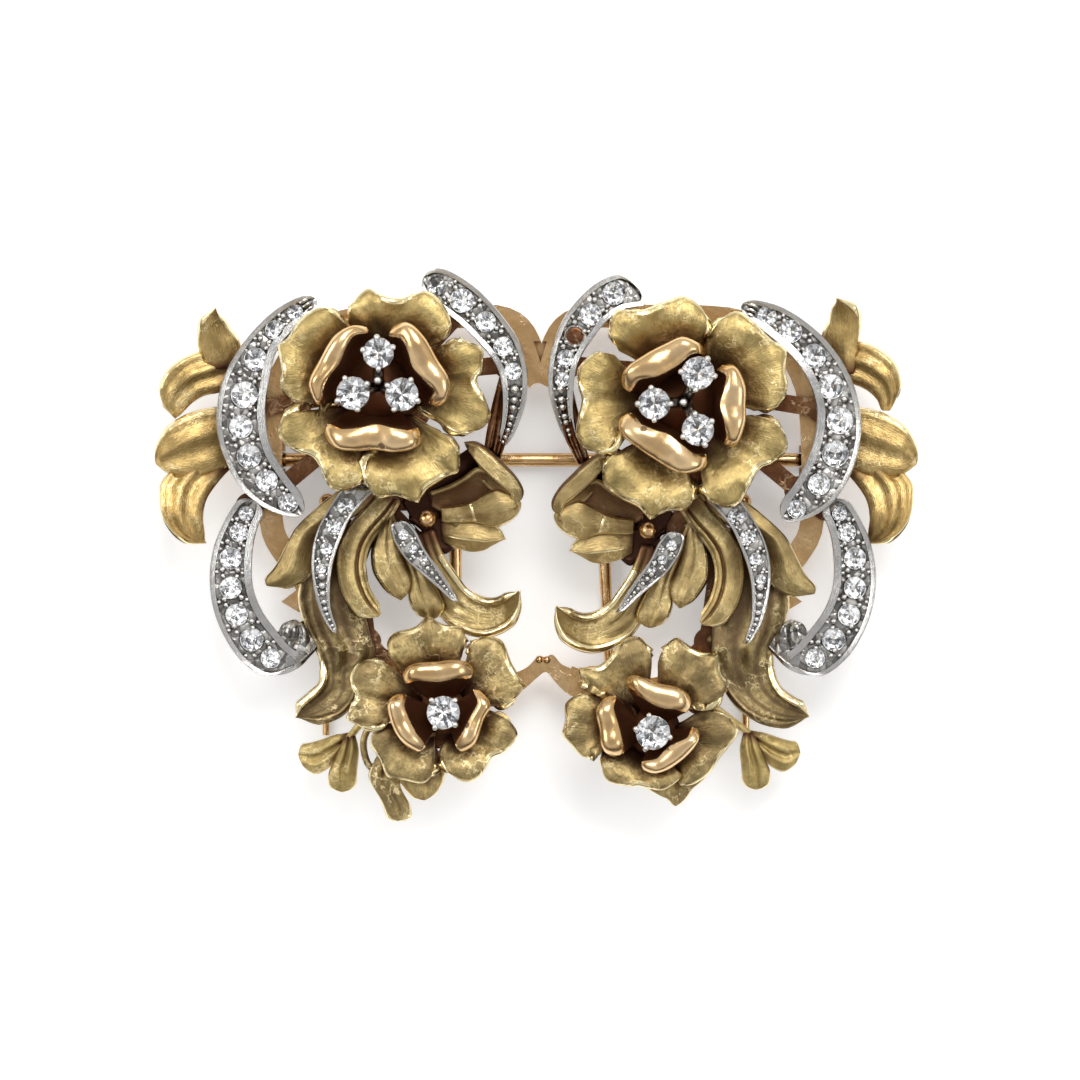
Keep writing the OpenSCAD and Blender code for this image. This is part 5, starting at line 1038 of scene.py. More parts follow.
ribbons = {
    "outer": {
        "height": 2.0, "sunk": 0.95, "outerRim": 0.5, "innerRim": 0.75, "slope": 0.2, "ends": (1.3, 2.6),
        "flutes": (0.28, 0.5, 0.72),
        "feet": {
            "left": [(-24.2, 11.4, 8.6), (-22.1, 17.5, 8.6), (-21.9, 4.5, 8.6)],
            "right": [(-24.2, 11.4, 8.6), (-21.3, 17.5, 8.6), (-22.6, 4.5, 8.6)],
        },
        "left": [
            (-19.3, 21.4, -18.3, 20, 9.8), (-22.2, 19.9, -20.7, 18.15, 10.1),
            (-24.8, 17.3, -22.2, 16.2, 10.35), (-26.7, 14, -22.85, 13.5, 10.4),
            (-27.3, 10.4, -23.1, 10.6, 10.4), (-26.6, 7.2, -22.5, 7.8, 10.4),
            (-24.7, 4.1, -20.9, 5.3, 10.4), (-20.8, 1.5, -19.2, 3.4, 10.2),
        ],
        "right": [
            (-17.4, 20.9, -17.2, 19.3, 9.8), (-20.8, 20.05, -19.7, 17.6, 10.1),
            (-24.1, 17.7, -22, 15.4, 10.35), (-26.5, 14.3, -23.3, 13.1, 10.4),
            (-27.5, 10.6, -23.75, 10.6, 10.4), (-27.1, 7.1, -23.1, 7.5, 10.4),
            (-25.3, 3.7, -21.4, 4.5, 10.4), (-21.9, 1.1, -19.9, 2.9, 10.2),
        ],
    },
    "top": {
        "height": 2.0, "sunk": 0.95, "outerRim": 0.48, "innerRim": 0.55, "slope": 0.2, "ends": (0.9, 1.2),
        "left": [
            (-9.3, 23.5, -10.2, 21.5, 9.8), (-7.4, 23.1, -8.7, 20.2, 10.15), (-5, 21.5, -6.6, 18.6, 10.35),
            (-3, 19.3, -4.9, 16.9, 10.4), (-1.6, 17.2, -3.9, 15.7, 10.4), (-0.9, 14.8, -3.2, 14.3, 10.25),
            (-0.95, 12.2, -3, 12.4, 9.7), (-1.7, 9.8, -3.1, 10.2, 8.95), (-2.8, 7.9, -3.5, 8.4, 8.2),
        ],
        "right": [
            (-7.4, 23, -9.8, 20.15, 9.8), (-5.7, 22.5, -7.6, 19.9, 10.15), (-4.1, 21.4, -6, 18.95, 10.35),
            (-2.5, 19.55, -4.8, 17.5, 10.4), (-1.5, 17.5, -3.9, 16.2, 10.4),
            (-0.95, 15.2, -3.3, 14.8, 10.25), (-0.95, 12.8, -3.05, 12.9, 9.7),
            (-1.6, 10.4, -3.1, 10.7, 8.95), (-2.6, 8.2, -3.4, 8.6, 8.2),
        ],
        "seat": {"spot": (-3.2, 17.6), "radius": 0.9, "rimZ": 10.2, "holeZ": 9.85, "holeShare": 0.86},
        "underThick": 0.35, "endGrain": 12,
        "feet": {
            "left": [(-6.5, 20.1, 8.6), (-2.6, 15.2, 8.6)],
            "right": [(-5.9, 20.1, 8.6), (-2.6, 15.2, 8.6)],
        },
        # the broad underside of the ribbon shows beside its tail, dark brown as painted shade
        "under": {
            "left": [
                (-2.2, 15.3, -2.8, 15.1, 9.2, 9.1, 0), (-2.4, 12.9, -3.55, 12.9, 9.1, 8.9, 0.1),
                (-2.3, 11.1, -4.0, 11.2, 8.8, 8.5, 0.2), (-2.5, 9.3, -4.35, 9.4, 8.4, 8.1, 0.35),
                (-2.9, 7.9, -4.55, 8.0, 8.0, 7.8, 0.35), (-3.2, 7.0, -4.6, 7.1, 7.7, 7.6, 0.2),
            ],
            "right": [
                (-2.1, 13.9, -2.7, 13.8, 9.1, 9.0, 0), (-2.2, 10.9, -3.5, 11.0, 8.8, 8.6, 0.15),
                (-2.3, 9.2, -3.8, 9.4, 8.4, 8.2, 0.25), (-3.0, 7.6, -4.2, 7.9, 8.0, 7.8, 0.25),
                (-3.5, 6.7, -4.5, 6.9, 7.7, 7.6, 0.1),
            ],
        },
    },
    "lower": {
        "height": 2.0, "sunk": 0.95, "outerRim": 0.5, "innerRim": 0.7, "slope": 0.2, "ends": (1.0, 1.8),
        "shift": (0.9, 0), "feet": [(-24.1, 3.1, 6.5), (-20.4, -8.2, 6.1)],
        "rows": [
            (-25.2, 4.2, -23, 3, 8.1), (-26.6, 2, -23.85, 1.2, 8.1), (-27.65, -0.7, -24.25, -1, 8.1),
            (-27.9, -3.6, -24.2, -3.6, 8.1), (-27.3, -6.6, -23.4, -5.8, 8),
            (-25.7, -9.5, -21.9, -7.8, 7.85), (-23.6, -11.25, -20.7, -9, 7.7),
            (-21.8, -11.5, -19.5, -9, 7.6),
        ],
        "tail": [
            (-22.4, -8.4, -19.4, -9.4, 7.4, 7.2, 0.2), (-22.1, -7.6, -19.3, -8.4, 7.4, 7.1, 0.4),
            (-21.7, -6.9, -19.5, -7.4, 7.3, 7, 0.4), (-21, -6.45, -20.2, -6.55, 7, 6.9, 0.1),
        ],
        # the plain strip that wraps on from the ribbon's end
        "wrap": [
            (-22.6, -10.9, -23.2, -9.7, 6.7, 6.9, 0), (-21.5, -10.8, -21.9, -9.2, 6.9, 7.1, 0.15),
            (-20.4, -10.3, -20.7, -8.8, 7.0, 7.2, 0.25), (-19.5, -9.5, -19.9, -8.3, 6.9, 7.1, 0.25),
            (-18.8, -8.8, -19.3, -7.9, 6.8, 7.0, 0.1),
        ],
    },
    "middle": {
        "height": 1.3, "sunk": 0.7, "outerRim": 0.32, "innerRim": 0.42, "slope": 0.15, "ends": (0.5, 1.0),
        "shift": (0.6, -0.9), "feet": [(-15.3, 4.2, 8.6)],
        "rows": [
            (-16.4, 4.9, -13.4, 4.8, 9.6), (-17.6, 3.2, -14.6, 3.7, 9.5), (-18.6, 1.4, -15.8, 2.3, 9.4),
            (-19.1, -0.2, -16.6, 0.6, 9.3), (-19.25, -2, -17.3, -1.4, 9.2), (-19, -4, -17.6, -3.4, 9.1),
            (-18.4, -6, -17.55, -5.6, 9), (-17.3, -7.9, -16.9, -7.5, 8.9),
        ],
    },
    "small": {
        "height": 1.2, "sunk": 0.55, "outerRim": 0.26, "innerRim": 0.3, "slope": 0.12, "ends": (0.5, 0.9),
        "shift": (0, -0.9), "feet": [(-10.9, 1.15, 8.1)],
        "rows": [
            (-12.6, 1.7, -11.2, 2, 9.2), (-12.2, 0.2, -10.3, 1, 9), (-11.2, -1.4, -9.6, -0.4, 8.8),
            (-10, -2.5, -8.8, -1.6, 8.5), (-8.6, -3.7, -7.9, -2.9, 8.2), (-7.4, -4.8, -7.1, -4.2, 7.9),
            (-6.7, -5.15, -6.6, -4.85, 7.7),
        ],
    },
}

# Stones of the ribbons: x, y, width, rim z; each girdle sits a little under the rim
ribbonStones = {
    "sunk": 0.18,
    "outer": {
        "left": [
            (-20.6, 19.6, 1.3, 10), (-22.3, 18.1, 1.6, 10.2), (-23.95, 15.6, 1.9, 10.35),
            (-24.9, 12.6, 2.2, 10.4), (-25.2, 9.9, 1.9, 10.4), (-24.5, 7.4, 2, 10.4),
            (-23, 5.3, 1.8, 10.4), (-21.2, 3.4, 1.6, 10.25),
        ],
        "right": [
            (-19.5, 19.3, 1.6, 10), (-21.5, 18, 1.9, 10.2), (-23.5, 15.9, 2, 10.35),
            (-24.9, 13.3, 2.1, 10.4), (-25.7, 10.4, 2.2, 10.4), (-25.3, 7.6, 2.2, 10.4),
            (-23.9, 5, 1.8, 10.4), (-22, 2.9, 1.5, 10.25),
        ],
    },
    "top": {
        "left": [
            (-8.6, 21.8, 1.5, 10.05), (-6.4, 20.6, 2, 10.3), (-4.4, 18.8, 1.7, 10.4),
            (-2.9, 16.7, 1.6, 10.4), (-2.1, 14.6, 1.4, 10.2),
        ],
        "right": [
            (-6.5, 21.2, 1.9, 10.25), (-4.5, 19.4, 1.8, 10.4), (-2.4, 15.7, 1.4, 10.3),
            (-2.1, 13.9, 1.2, 10),
        ],
    },
    "lower": [
        (-24.8, 2.5, 1.2, 8.1), (-25.4, 0.9, 1.5, 8.1), (-26.1, -1.3, 1.8, 8.1), (-26.1, -3.8, 1.8, 8.1),
        (-25.6, -6.1, 1.8, 8), (-24.3, -8.2, 1.9, 7.9), (-22.7, -9.8, 1.6, 7.8),
    ],
    "middle": [
        (-16.3, 3.1, 1.4, 9.45), (-17.3, 1.4, 1.3, 9.4), (-17.95, -0.5, 1, 9.3), (-18.4, -2.2, 0.8, 9.2),
    ],
    "small": [(-11.4, 0.7, 0.8, 9.05), (-10.6, -0.5, 0.7, 8.85), (-9.7, -1.4, 0.6, 8.65)],
}


def girdled(rows):
    return [(x, y, d, z - ribbonStones["sunk"]) for x, y, d, z in rows]


# Tiny beads that carry a row of stones on to the ribbon's tip: the y that they start from
beadForm = {
    "start": 0.1, "stop": 0.35, "taper": 0.55, "widest": 0.24, "sunk": 0.1, "gap": 0.12,
    "grainShare": 0.52, "grainSize": 0.36, "grainSunk": 0.08,
}
tailBeads = {
    "top": {"from": 13.2, "radius": 0.40, "pitch": 1.75},
    "middle": {"from": -3.0, "radius": 0.36, "pitch": 1.8},
    "small": {"from": -2.1, "radius": 0.26, "pitch": 1.8},
}


def beadRow(shape, path, name):
    b = {**beadForm, **tailBeads[name]}
    slot = ribbonForm["cut"]
    line = [r for r in path if r[1] < b["from"]]
    reach = lengths([rowMiddle(r) for r in line])
    at = b["start"]
    while at < reach[-1] - b["stop"]:
        i = max(k for k in range(len(reach)) if reach[k] <= at)
        r = line[i]
        tapered = b["radius"] * (1 - b["taper"] * at / reach[-1])
        size = min(tapered, math.dist(r[:2], r[2:4]) * b["widest"])
        centre = rowMiddle(r)
        shape.ball((*centre, r[4] - b["sunk"]), size, 1.0, slot, 6)
        for edge in (r[:2], r[2:4]):
            grain = between(centre, edge, b["grainShare"])
            shape.ball((*grain, r[4] - b["grainSunk"]), size * b["grainSize"], 1.0, slot, 5)
        at += size * b["pitch"] + b["gap"]


def setRibbon(shape, side, name, stones):
    # the band with its collars, grains and beads; gives back the path that it follows
    spec = ribbons[name]
    path = ribbonBand(shape, spec[side] if side in spec else spec["rows"], spec, stones)
    setStones(shape, path, stones, spec)
    if name in tailBeads:
        beadRow(shape, path, name)
    return path


def buildRibbon(shape, side, name):
    feet = ribbons[name]["feet"]
    for foot in feet[side] if side in feet else feet:
        shape.foot(*foot)
    finishes = ["white", "bed", "cut"] + (["under"] if name == "top" else [])
    node = side + "_" + name + "_ribbon"
    shape.build(side + name.capitalize() + "Ribbon", finishes, "platinum", [node], ribbonForm["crisp"])


def makeOuterRibbon(side):
    shape = Shape(side)
    stones = girdled(ribbonStones["outer"][side])
    path = setRibbon(shape, side, "outer", stones)
    for share in ribbons["outer"]["flutes"]:
        # shallow flutes at the ribbon's upper end
        line = [(*between(r[:2], r[2:4], share), r[4] - 0.2) for r in path[4:10]]
        shape.wire(line, [0.05, 0.16, 0.2, 0.2, 0.16, 0.05], 8)
    buildRibbon(shape, side, "outer")
    stoneField(side + "OuterStones", side, [((0, 0), stones)], [side + "_outer_ribbon_stones"])


def makeTopRibbon(side):
    spec = ribbons["top"]
    shape = Shape(side)
    stones = girdled(ribbonStones["top"][side])
    seats = stones
    if side == "right":
        # the stone is lost from this seat; a dark ball in the darkened backing finish paints the shade in
        # its hole
        seat = spec["seat"]
        hole, r = (*seat["spot"], seat["holeZ"]), seat["radius"]
        shape.ball(hole, r * seat["holeShare"], 0.1, ribbonForm["under"], 12, -0.5)
        seats = stones[:2] + [(*seat["spot"], 2 * r, seat["rimZ"])] + stones[2:]
    path = setRibbon(shape, side, "top", seats)
    # the underside in painted shade, darker towards its far end
    grid = leafGrid(spec["under"][side], folded, across=14, tip=None)
    shape.sheet(grid, spec["underThick"], lambda u, v: -0.25 - 0.2 * u, ribbonForm["under"], 0.2)
    # one grain on the plain upper end
    end = path[spec["endGrain"]]
    shape.ball((*between(end[:2], end[2:4], 0.5), end[4] - 0.2), 0.3, 0.8, ribbonForm["cut"])
    buildRibbon(shape, side, "top")
    stoneField(side + "TopStones", side, [((0, 0), stones)], [side + "_top_ribbon_stones"])


def makeLowerRibbon(side):
    spec = ribbons["lower"]
    shape = Shape(side, spec["shift"])
    stones = girdled(ribbonStones["lower"])
    setRibbon(shape, side, "lower", stones)
    # the strip darkens along its length and the tail is darkened: painted shade with patina
    strip = leafGrid(spec["wrap"], arched, lip=0.2, tip=None)
    shape.sheet(strip, 0.6, lambda u, v: -0.3 - 0.45 * u, ribbonForm["metal"], 0.1)
    shape.sheet(leafGrid(spec["tail"], folded, 1.2, across=14), 0.6, dull(-0.55), ribbonForm["bed"], -0.3)
    buildRibbon(shape, side, "lower")
    stoneField(side + "LowerStones", side, [(spec["shift"], stones)], [side + "_lower_ribbon_stones"])


def makeInnerRibbons(side):
    groups = []
    for name in ("middle", "small"):
        shape = Shape(side, ribbons[name]["shift"])
        stones = girdled(ribbonStones[name])
        setRibbon(shape, side, name, stones)
        buildRibbon(shape, side, name)
        groups.append((ribbons[name]["shift"], stones))
    stoneField(side + "InnerStones", side, groups, [side + "_inner_ribbon_stones"])


# Flowers: satin outer petals, polished rolled inner ones and stones in claws
# columns: petals edge x, y, z; rolls inner x, y, outer x, y, crest z; gems x, y, width, four claw angles
bigFlower = {
    "centre": {"left": (-13.5, 13.3), "right": (-12.5, 12.0)}, "petalRoot": 3.2, "hubRadius": 3.7,
    "hubZ": 9.6, "share": 0.62, "thick": 0.65, "fold": 0.95, "rollRoot": 2.5, "rollGap": 0.05,
    "gemZ": 14.6, "claw": 0.30, "finish": "satin", "curl": 0.75,
    "node": "_big_flower", "piece": "BigFlower", "post": 0.75, "postTop": 11.55,
    "arms": [0.5, 0.45], "armZ": 11.2, "knob": (0.42, 14.2), "knobStem": 10.8,
    "petals": {
        "left": [
            [(-16.1, 18.7, 11.6), (-15.8, 20.2, 12.2), (-14.4, 21.6, 12.4), (-12.9, 20.6, 12),
             (-11.4, 20.5, 12.1), (-9.6, 21.4, 12.6), (-8.1, 20.4, 12.5), (-7.4, 18.7, 12.1),
             (-8.4, 16.9, 11.6)],
            [(-16.2, 18.6, 12), (-18.2, 20, 12.5), (-20, 19.1, 12.5), (-21.2, 17.3, 12.1),
             (-22, 16.7, 12.3), (-21.5, 14.8, 12.5), (-21.8, 13.1, 12.4), (-20.6, 12.1, 12),
             (-18.8, 11.8, 11.6)],
            [(-19.4, 11.3, 11.9), (-21.4, 10.9, 12.5), (-22, 9.3, 12.6), (-21, 8.1, 12.3),
             (-19, 7.7, 12.1), (-18.1, 6.3, 12.3), (-17.8, 4.9, 12.5), (-16.5, 4.4, 12.5),
             (-15.1, 5.2, 12.2), (-14.7, 6.8, 11.8)],
            [(-14.2, 7.4, 11.7), (-14.7, 5.7, 12.2), (-13.7, 3.9, 12.4), (-12, 4.1, 12.2),
             (-10.2, 3.45, 12.5), (-9.6, 4.7, 12.3), (-8, 5.7, 12.2), (-6.7, 6.1, 12.5), (-6.8, 7.9, 12.3),
             (-8.3, 9.6, 11.7)],
            [(-8.4, 16.7, 11.7), (-6.6, 17.2, 12.3), (-4.8, 16.6, 12.5), (-4.7, 15.2, 12.2),
             (-5.5, 13.9, 12), (-4.9, 12.6, 12.3), (-4, 11.1, 12.5), (-4.6, 9.8, 12.3), (-6.4, 9.4, 12.1),
             (-8.2, 10.2, 11.7)],
        ],
        "right": [
            [(-6.9, 16.3, 11.6), (-6.05, 18.2, 12.2), (-6.8, 19.8, 12.5), (-8.9, 19.5, 12.1),
             (-10.4, 20.1, 12.2), (-12.3, 20.95, 12.6), (-13.9, 20, 12.5), (-14.4, 18.5, 12.1),
             (-13.9, 17, 11.6)],
            [(-14.3, 17.2, 11.6), (-15.3, 18.7, 12.1), (-16.9, 19.7, 12.5), (-18.3, 18.7, 12.4),
             (-19.6, 17.3, 12.1), (-21.1, 16.4, 12.4), (-20.95, 14.8, 12.2), (-21.2, 12.9, 12.4),
             (-20.2, 11.6, 12.2), (-18.4, 11.2, 11.7)],
            [(-18.2, 10.9, 11.8), (-20.4, 10.1, 12.5), (-21.25, 8.4, 12.6), (-20.5, 7.2, 12.3),
             (-18.7, 6.6, 12), (-17.8, 5, 12.3), (-17.2, 3.5, 12.5), (-15.9, 3, 12.5), (-14.4, 4, 12.2),
             (-13.9, 5.6, 11.8)],
            [(-13, 5.8, 11.7), (-13.15, 4, 12.2), (-12.7, 2.85, 12.4), (-11, 2.85, 12.2),
             (-9.6, 2.05, 12.5), (-8.6, 3.3, 12.2), (-7, 3.95, 12.2), (-5.6, 5.1, 12.5), (-5.8, 6.8, 12.3),
             (-7.4, 8.1, 11.7)],
            [(-6.5, 16, 11.8), (-5, 16.15, 12.3), (-3.7, 15.2, 12.5), (-3.4, 14, 12.3), (-4.1, 12.2, 12),
             (-3.6, 10.5, 12.3), (-3.3, 9.2, 12.5), (-4.2, 7.9, 12.4), (-5.8, 7.9, 12.1), (-6.9, 9, 11.8)],
        ],
    },
    "rolls": {
        "left": [
            [(-14.2, 18, -14.5, 18.2, 14), (-15.5, 17.6, -15.8, 18.4, 14.8),
             (-16.2, 16.6, -17.3, 17.5, 15.2), (-16.8, 15.2, -18.5, 15.5, 15),
             (-17.8, 13.9, -19.4, 13.6, 15.1), (-18.2, 12.6, -18.9, 12.1, 14.6),
             (-18.1, 11.9, -18.3, 11.7, 14)],
            [(-12.7, 17.8, -12.4, 18.1, 14), (-11.6, 17.3, -11, 18.7, 14.8), (-11, 16.2, -9.6, 17.5, 15.2),
             (-10.6, 14.9, -8.5, 15.6, 15), (-9.6, 13.8, -7.5, 13.9, 15.1), (-8.8, 12.8, -7.7, 12.2, 14.7),
             (-9, 11.9, -9, 11.5, 14)],
            [(-17.9, 9.9, -18.1, 9.6, 14), (-16.6, 9.7, -17.1, 8.1, 14.9), (-15.1, 9.8, -15.5, 7.8, 15.1),
             (-13.7, 10.1, -13.8, 7.9, 14.8), (-12.3, 9.8, -12.1, 7.7, 15.1), (-11, 9.6, -10.4, 8.1, 14.9),
             (-10.1, 9.6, -9.8, 9.2, 14)],
        ],
        "right": [
            [(-7.7, 13, -7.3, 12.9, 14), (-8.6, 13.8, -7.4, 14.7, 14.9), (-10.2, 14.15, -9.1, 16, 15.2),
             (-11.7, 14.9, -10.8, 16.9, 15), (-12.9, 15.9, -12.3, 17.5, 15.1),
             (-13.6, 16.1, -13.6, 17, 14.7), (-14, 16.1, -14.2, 16.4, 14)],
            [(-15.4, 14.85, -15.4, 15, 14), (-15.95, 14.2, -16.8, 14.95, 14.9),
             (-15.8, 13.1, -17.6, 13.4, 15.2), (-15.45, 11.7, -17.65, 11.8, 15),
             (-15.8, 10.3, -17.6, 10.2, 15.1), (-16, 9.1, -17.1, 8.7, 14.7),
             (-16.1, 8.4, -16.2, 8.05, 14)],
            [(-7.6, 10.9, -7.35, 11, 14), (-8.8, 10.1, -7.1, 9.3, 14.9), (-10, 9.6, -8.7, 7.9, 15.2),
             (-11.2, 9.2, -10.4, 6.8, 15), (-12.3, 8.3, -12, 5.95, 15.1), (-13.4, 7.55, -13.6, 6.1, 14.7),
             (-14.3, 7.3, -14.45, 7, 14)],
        ],
    },
    "gems": {
        "left": [
            (-13.5, 16.1, 2.6, 21, 95, 169, 270), (-15.65, 12.7, 2.8, 34, 118, 206, 286),
            (-11.5, 12.6, 2.8, 58, 148, 242, 338),
        ],
        "right": [
            (-13.6, 14.4, 2.8, 5, 124, 191, 278), (-9.9, 11.8, 2.7, 0, 79, 180, 270),
            (-13.6, 9.6, 2.7, 80, 148, 245, 335),
        ],
    },
}
smallFlower = {
    "centre": {"left": (-8, -14.3), "right": (-9.7, -16.0)}, "petalRoot": 2.0, "hubRadius": 2.5,
    "hubZ": 8.4, "share": 0.6, "thick": 0.6, "fold": 0.9, "rollRoot": 1.15, "rollGap": 0.15, "gemZ": 12.0,
    "claw": 0.28, "finish": "small", "curl": 0.6,
    "node": "_small_flower", "piece": "SmallFlower", "post": 0.55, "postTop": 10.45,
    "leafletThick": 0.65, "twigRoot": (-11.5, -17.9, 8.1), "twigZ": 7.9, "twig": 0.5, "stemRadius": 0.3,
    "petals": {
        "left": [
            [(-11.9, -10.6, 9.7), (-12.8, -8.8, 10.3), (-12.2, -7.7, 10.5), (-10.4, -7.4, 10.3),
             (-9.3, -6.2, 10.7), (-8, -7.1, 10.3), (-6.4, -7.1, 10.4), (-6.2, -8.3, 10.1),
             (-6.4, -9.6, 9.7)],
            [(-5.9, -9.8, 9.7), (-5.7, -8.7, 10.2), (-4.4, -7.9, 10.5), (-2.9, -8.5, 10.4),
             (-2.5, -10.2, 10.2), (-1.6, -11.6, 10.4), (-1.1, -12.2, 10.4), (-2.2, -13.4, 10.1),
             (-3.9, -13.9, 9.7)],
            [(-4, -14.2, 9.7), (-2.4, -15.1, 10.3), (-1.7, -16.3, 10.5), (-2.6, -17.5, 10.3),
             (-4.1, -18, 10.1), (-4.9, -19.8, 10.4), (-6.3, -20.3, 10.4), (-7.7, -19.3, 10.1),
             (-8.4, -17.8, 9.7)],
            [(-8.7, -18.2, 9.4), (-8.9, -19.5, 9.9), (-9.7, -20.4, 10.2), (-11.4, -20.1, 10),
             (-12.8, -19.8, 10.1), (-13.3, -18.3, 9.9), (-14.2, -17.1, 10.2), (-13.9, -16, 10),
             (-12.7, -15.3, 9.5)],
            [(-12.5, -14.9, 9.6), (-14.2, -15.6, 10.3), (-16.1, -15.1, 10.5), (-15.9, -14.1, 10.3),
             (-15.2, -13, 10.1), (-15.9, -11.5, 10.4), (-15.1, -10.1, 10.4), (-13.5, -10, 10.1),
             (-12.3, -10.5, 9.7)],
        ],
        "right": [
            [(-9.7, -10.6, 9.7), (-9.6, -9.4, 10.2), (-8.7, -8, 10.5), (-7.3, -8.3, 10.4),
             (-6.4, -9.7, 10.1), (-5.3, -10.7, 10.2), (-3.6, -10.6, 10.5), (-3.7, -11.6, 10.2),
             (-5.6, -12.7, 9.7)],
            [(-5.2, -12.9, 9.7), (-3.6, -12.85, 10.3), (-2.4, -13.6, 10.5), (-2.5, -15, 10.3),
             (-2.15, -16.3, 10.4), (-2.9, -17.2, 10.3), (-3.9, -18.2, 10.4), (-5, -17.7, 10),
             (-5.4, -17.2, 9.7)],
            [(-5.5, -17.6, 9.7), (-5.4, -18.9, 10.1), (-5.9, -20.2, 10.4), (-7.4, -20.55, 10.3),
             (-8.8, -20.3, 10.1), (-10.3, -21, 10.3), (-11.4, -20.6, 10.1), (-12.4, -19.7, 9.7)],
            [(-12, -20.6, 9.3), (-13.3, -20.4, 9.8), (-14.6, -19.5, 10.1), (-15.3, -18.2, 10),
             (-15.8, -17.5, 10), (-16.9, -16.4, 10.4), (-16.8, -15.3, 10.4), (-15.7, -14.5, 10.2),
             (-14, -14.1, 9.7)],
            [(-13.4, -13.8, 9.7), (-15.2, -13.4, 10.1), (-16.25, -12.2, 10.4), (-15.5, -11, 10.2),
             (-15.3, -9.5, 10.5), (-13.8, -9.4, 10.3), (-12.8, -8.9, 10.2), (-11.8, -8.05, 10.5),
             (-10.7, -8.9, 10.2), (-10.2, -10.2, 9.7)],
        ],
    },
    "rolls": {
        "left": [
            [(-11.3, -11.7, -11.5, -11.4, 11.6), (-10.2, -11.7, -10.6, -10.3, 12.3),
             (-8.4, -11.8, -8.4, -10.05, 12.2), (-6.9, -11.5, -6.6, -9.95, 12.3),
             (-5.6, -11.3, -5.3, -10.8, 11.6)],
            [(-11.4, -12.9, -11.5, -12.7, 11.6), (-11.3, -13.8, -12.7, -13.6, 12.3),
             (-10.9, -14.9, -12.4, -15.4, 12.2), (-10.3, -16.1, -11.5, -16.9, 12.3),
             (-9.8, -17.1, -9.7, -18.1, 11.7)],
            [(-5.3, -12.5, -5.2, -12.3, 11.6), (-5.1, -13.5, -4, -13.7, 12.3),
             (-5.7, -14.7, -4.6, -15.1, 12.2), (-6.3, -15.9, -5.3, -17, 12.3),
             (-6.7, -17, -6.9, -18, 11.7)],
        ],
        "right": [
            [(-7.7, -12.1, -7.5, -12, 11.6), (-8.8, -13.1, -8.4, -11.25, 12.3),
             (-10.2, -13.9, -10.3, -11.9, 12.2), (-11.7, -14.15, -12.2, -12.4, 12.3),
             (-12.9, -14.1, -13.1, -13.7, 11.6)],
            [(-6.4, -13, -6.2, -12.9, 11.6), (-6.5, -14, -5, -14.2, 12.3),
             (-6.9, -15.4, -5.25, -15.9, 12.2), (-7.2, -16.8, -5.5, -17.4, 12.3),
             (-7.1, -17.8, -6.8, -18.25, 11.7)],
            [(-13.3, -15.6, -13.5, -15.7, 11.6), (-12.7, -16.5, -13.6, -16.9, 12.3),
             (-11.2, -17.2, -12.2, -18.5, 12.2), (-10.1, -18.3, -10.3, -19.5, 12.3),
             (-8.9, -18.9, -8.7, -18.9, 11.7)],
        ],
    },
    "gems": {
        "left": [(-8, -14.4, 2.8, 47, 133, 240, 315)],
        "right": [(-9.8, -16.1, 2.9, 12, 77, 195, 295)],
    },
    "leaflets": {
        "left": [
            [(-13.2, -17.6, -11.2, -17.8, 8.6, 8.6, 0.2), (-14.3, -19.8, -11.8, -20.2, 8.6, 8.6, 0.3),
             (-13.3, -21.9, -10.9, -22.2, 8.6, 8.6, 0.3), (-12.6, -23.2, -11, -23.2, 8.7, 8.7, 0.1),
             (-12.1, -23.6, -11.7, -23.6, 8.8, 8.8, 0)],
            [(-11.4, -17.8, -8.6, -17.6, 8.5, 8.5, 0.2), (-11.9, -19.6, -8, -19.4, 8.5, 8.5, 0.3),
             (-11.2, -20.9, -8.1, -20.4, 8.5, 8.5, 0.3), (-10.5, -21.6, -8.6, -21.2, 8.5, 8.5, 0.2),
             (-9.9, -21.9, -9.3, -21.8, 8.5, 8.5, 0)],
        ],
        "right": [
            [(-14, -18, -10.4, -18.4, 8.6, 8.6, 0.2), (-14.2, -19.9, -9.4, -20.6, 8.6, 8.6, 0.3),
             (-13.2, -20.9, -10.2, -21.4, 8.6, 8.6, 0.3), (-12.6, -21.7, -11.1, -21.8, 8.6, 8.6, 0.2),
             (-12, -22.3, -11.5, -22.35, 8.7, 8.7, 0)],
        ],
    },
    "stem": [(-13.6, -14.6, 8.6), (-14.75, -16.6, 8.4), (-14.5, -18.6, 8.3), (-13.5, -19.6, 8.3)],
}


petalForm = {
    "steps": 6, "deep": 14, "swell": (-0.9, 0.5), "edgeLift": 0.2, "lobe": (0.45, 1.3),
    "flank": 0.75, "flankDrop": 0.3, "curlFrom": 0.62, "hubThick": 0.7, "trunk": 1.1, "trunkSink": 0.3,
    "rollHub": (0.7, 0.6, 0.5),
}


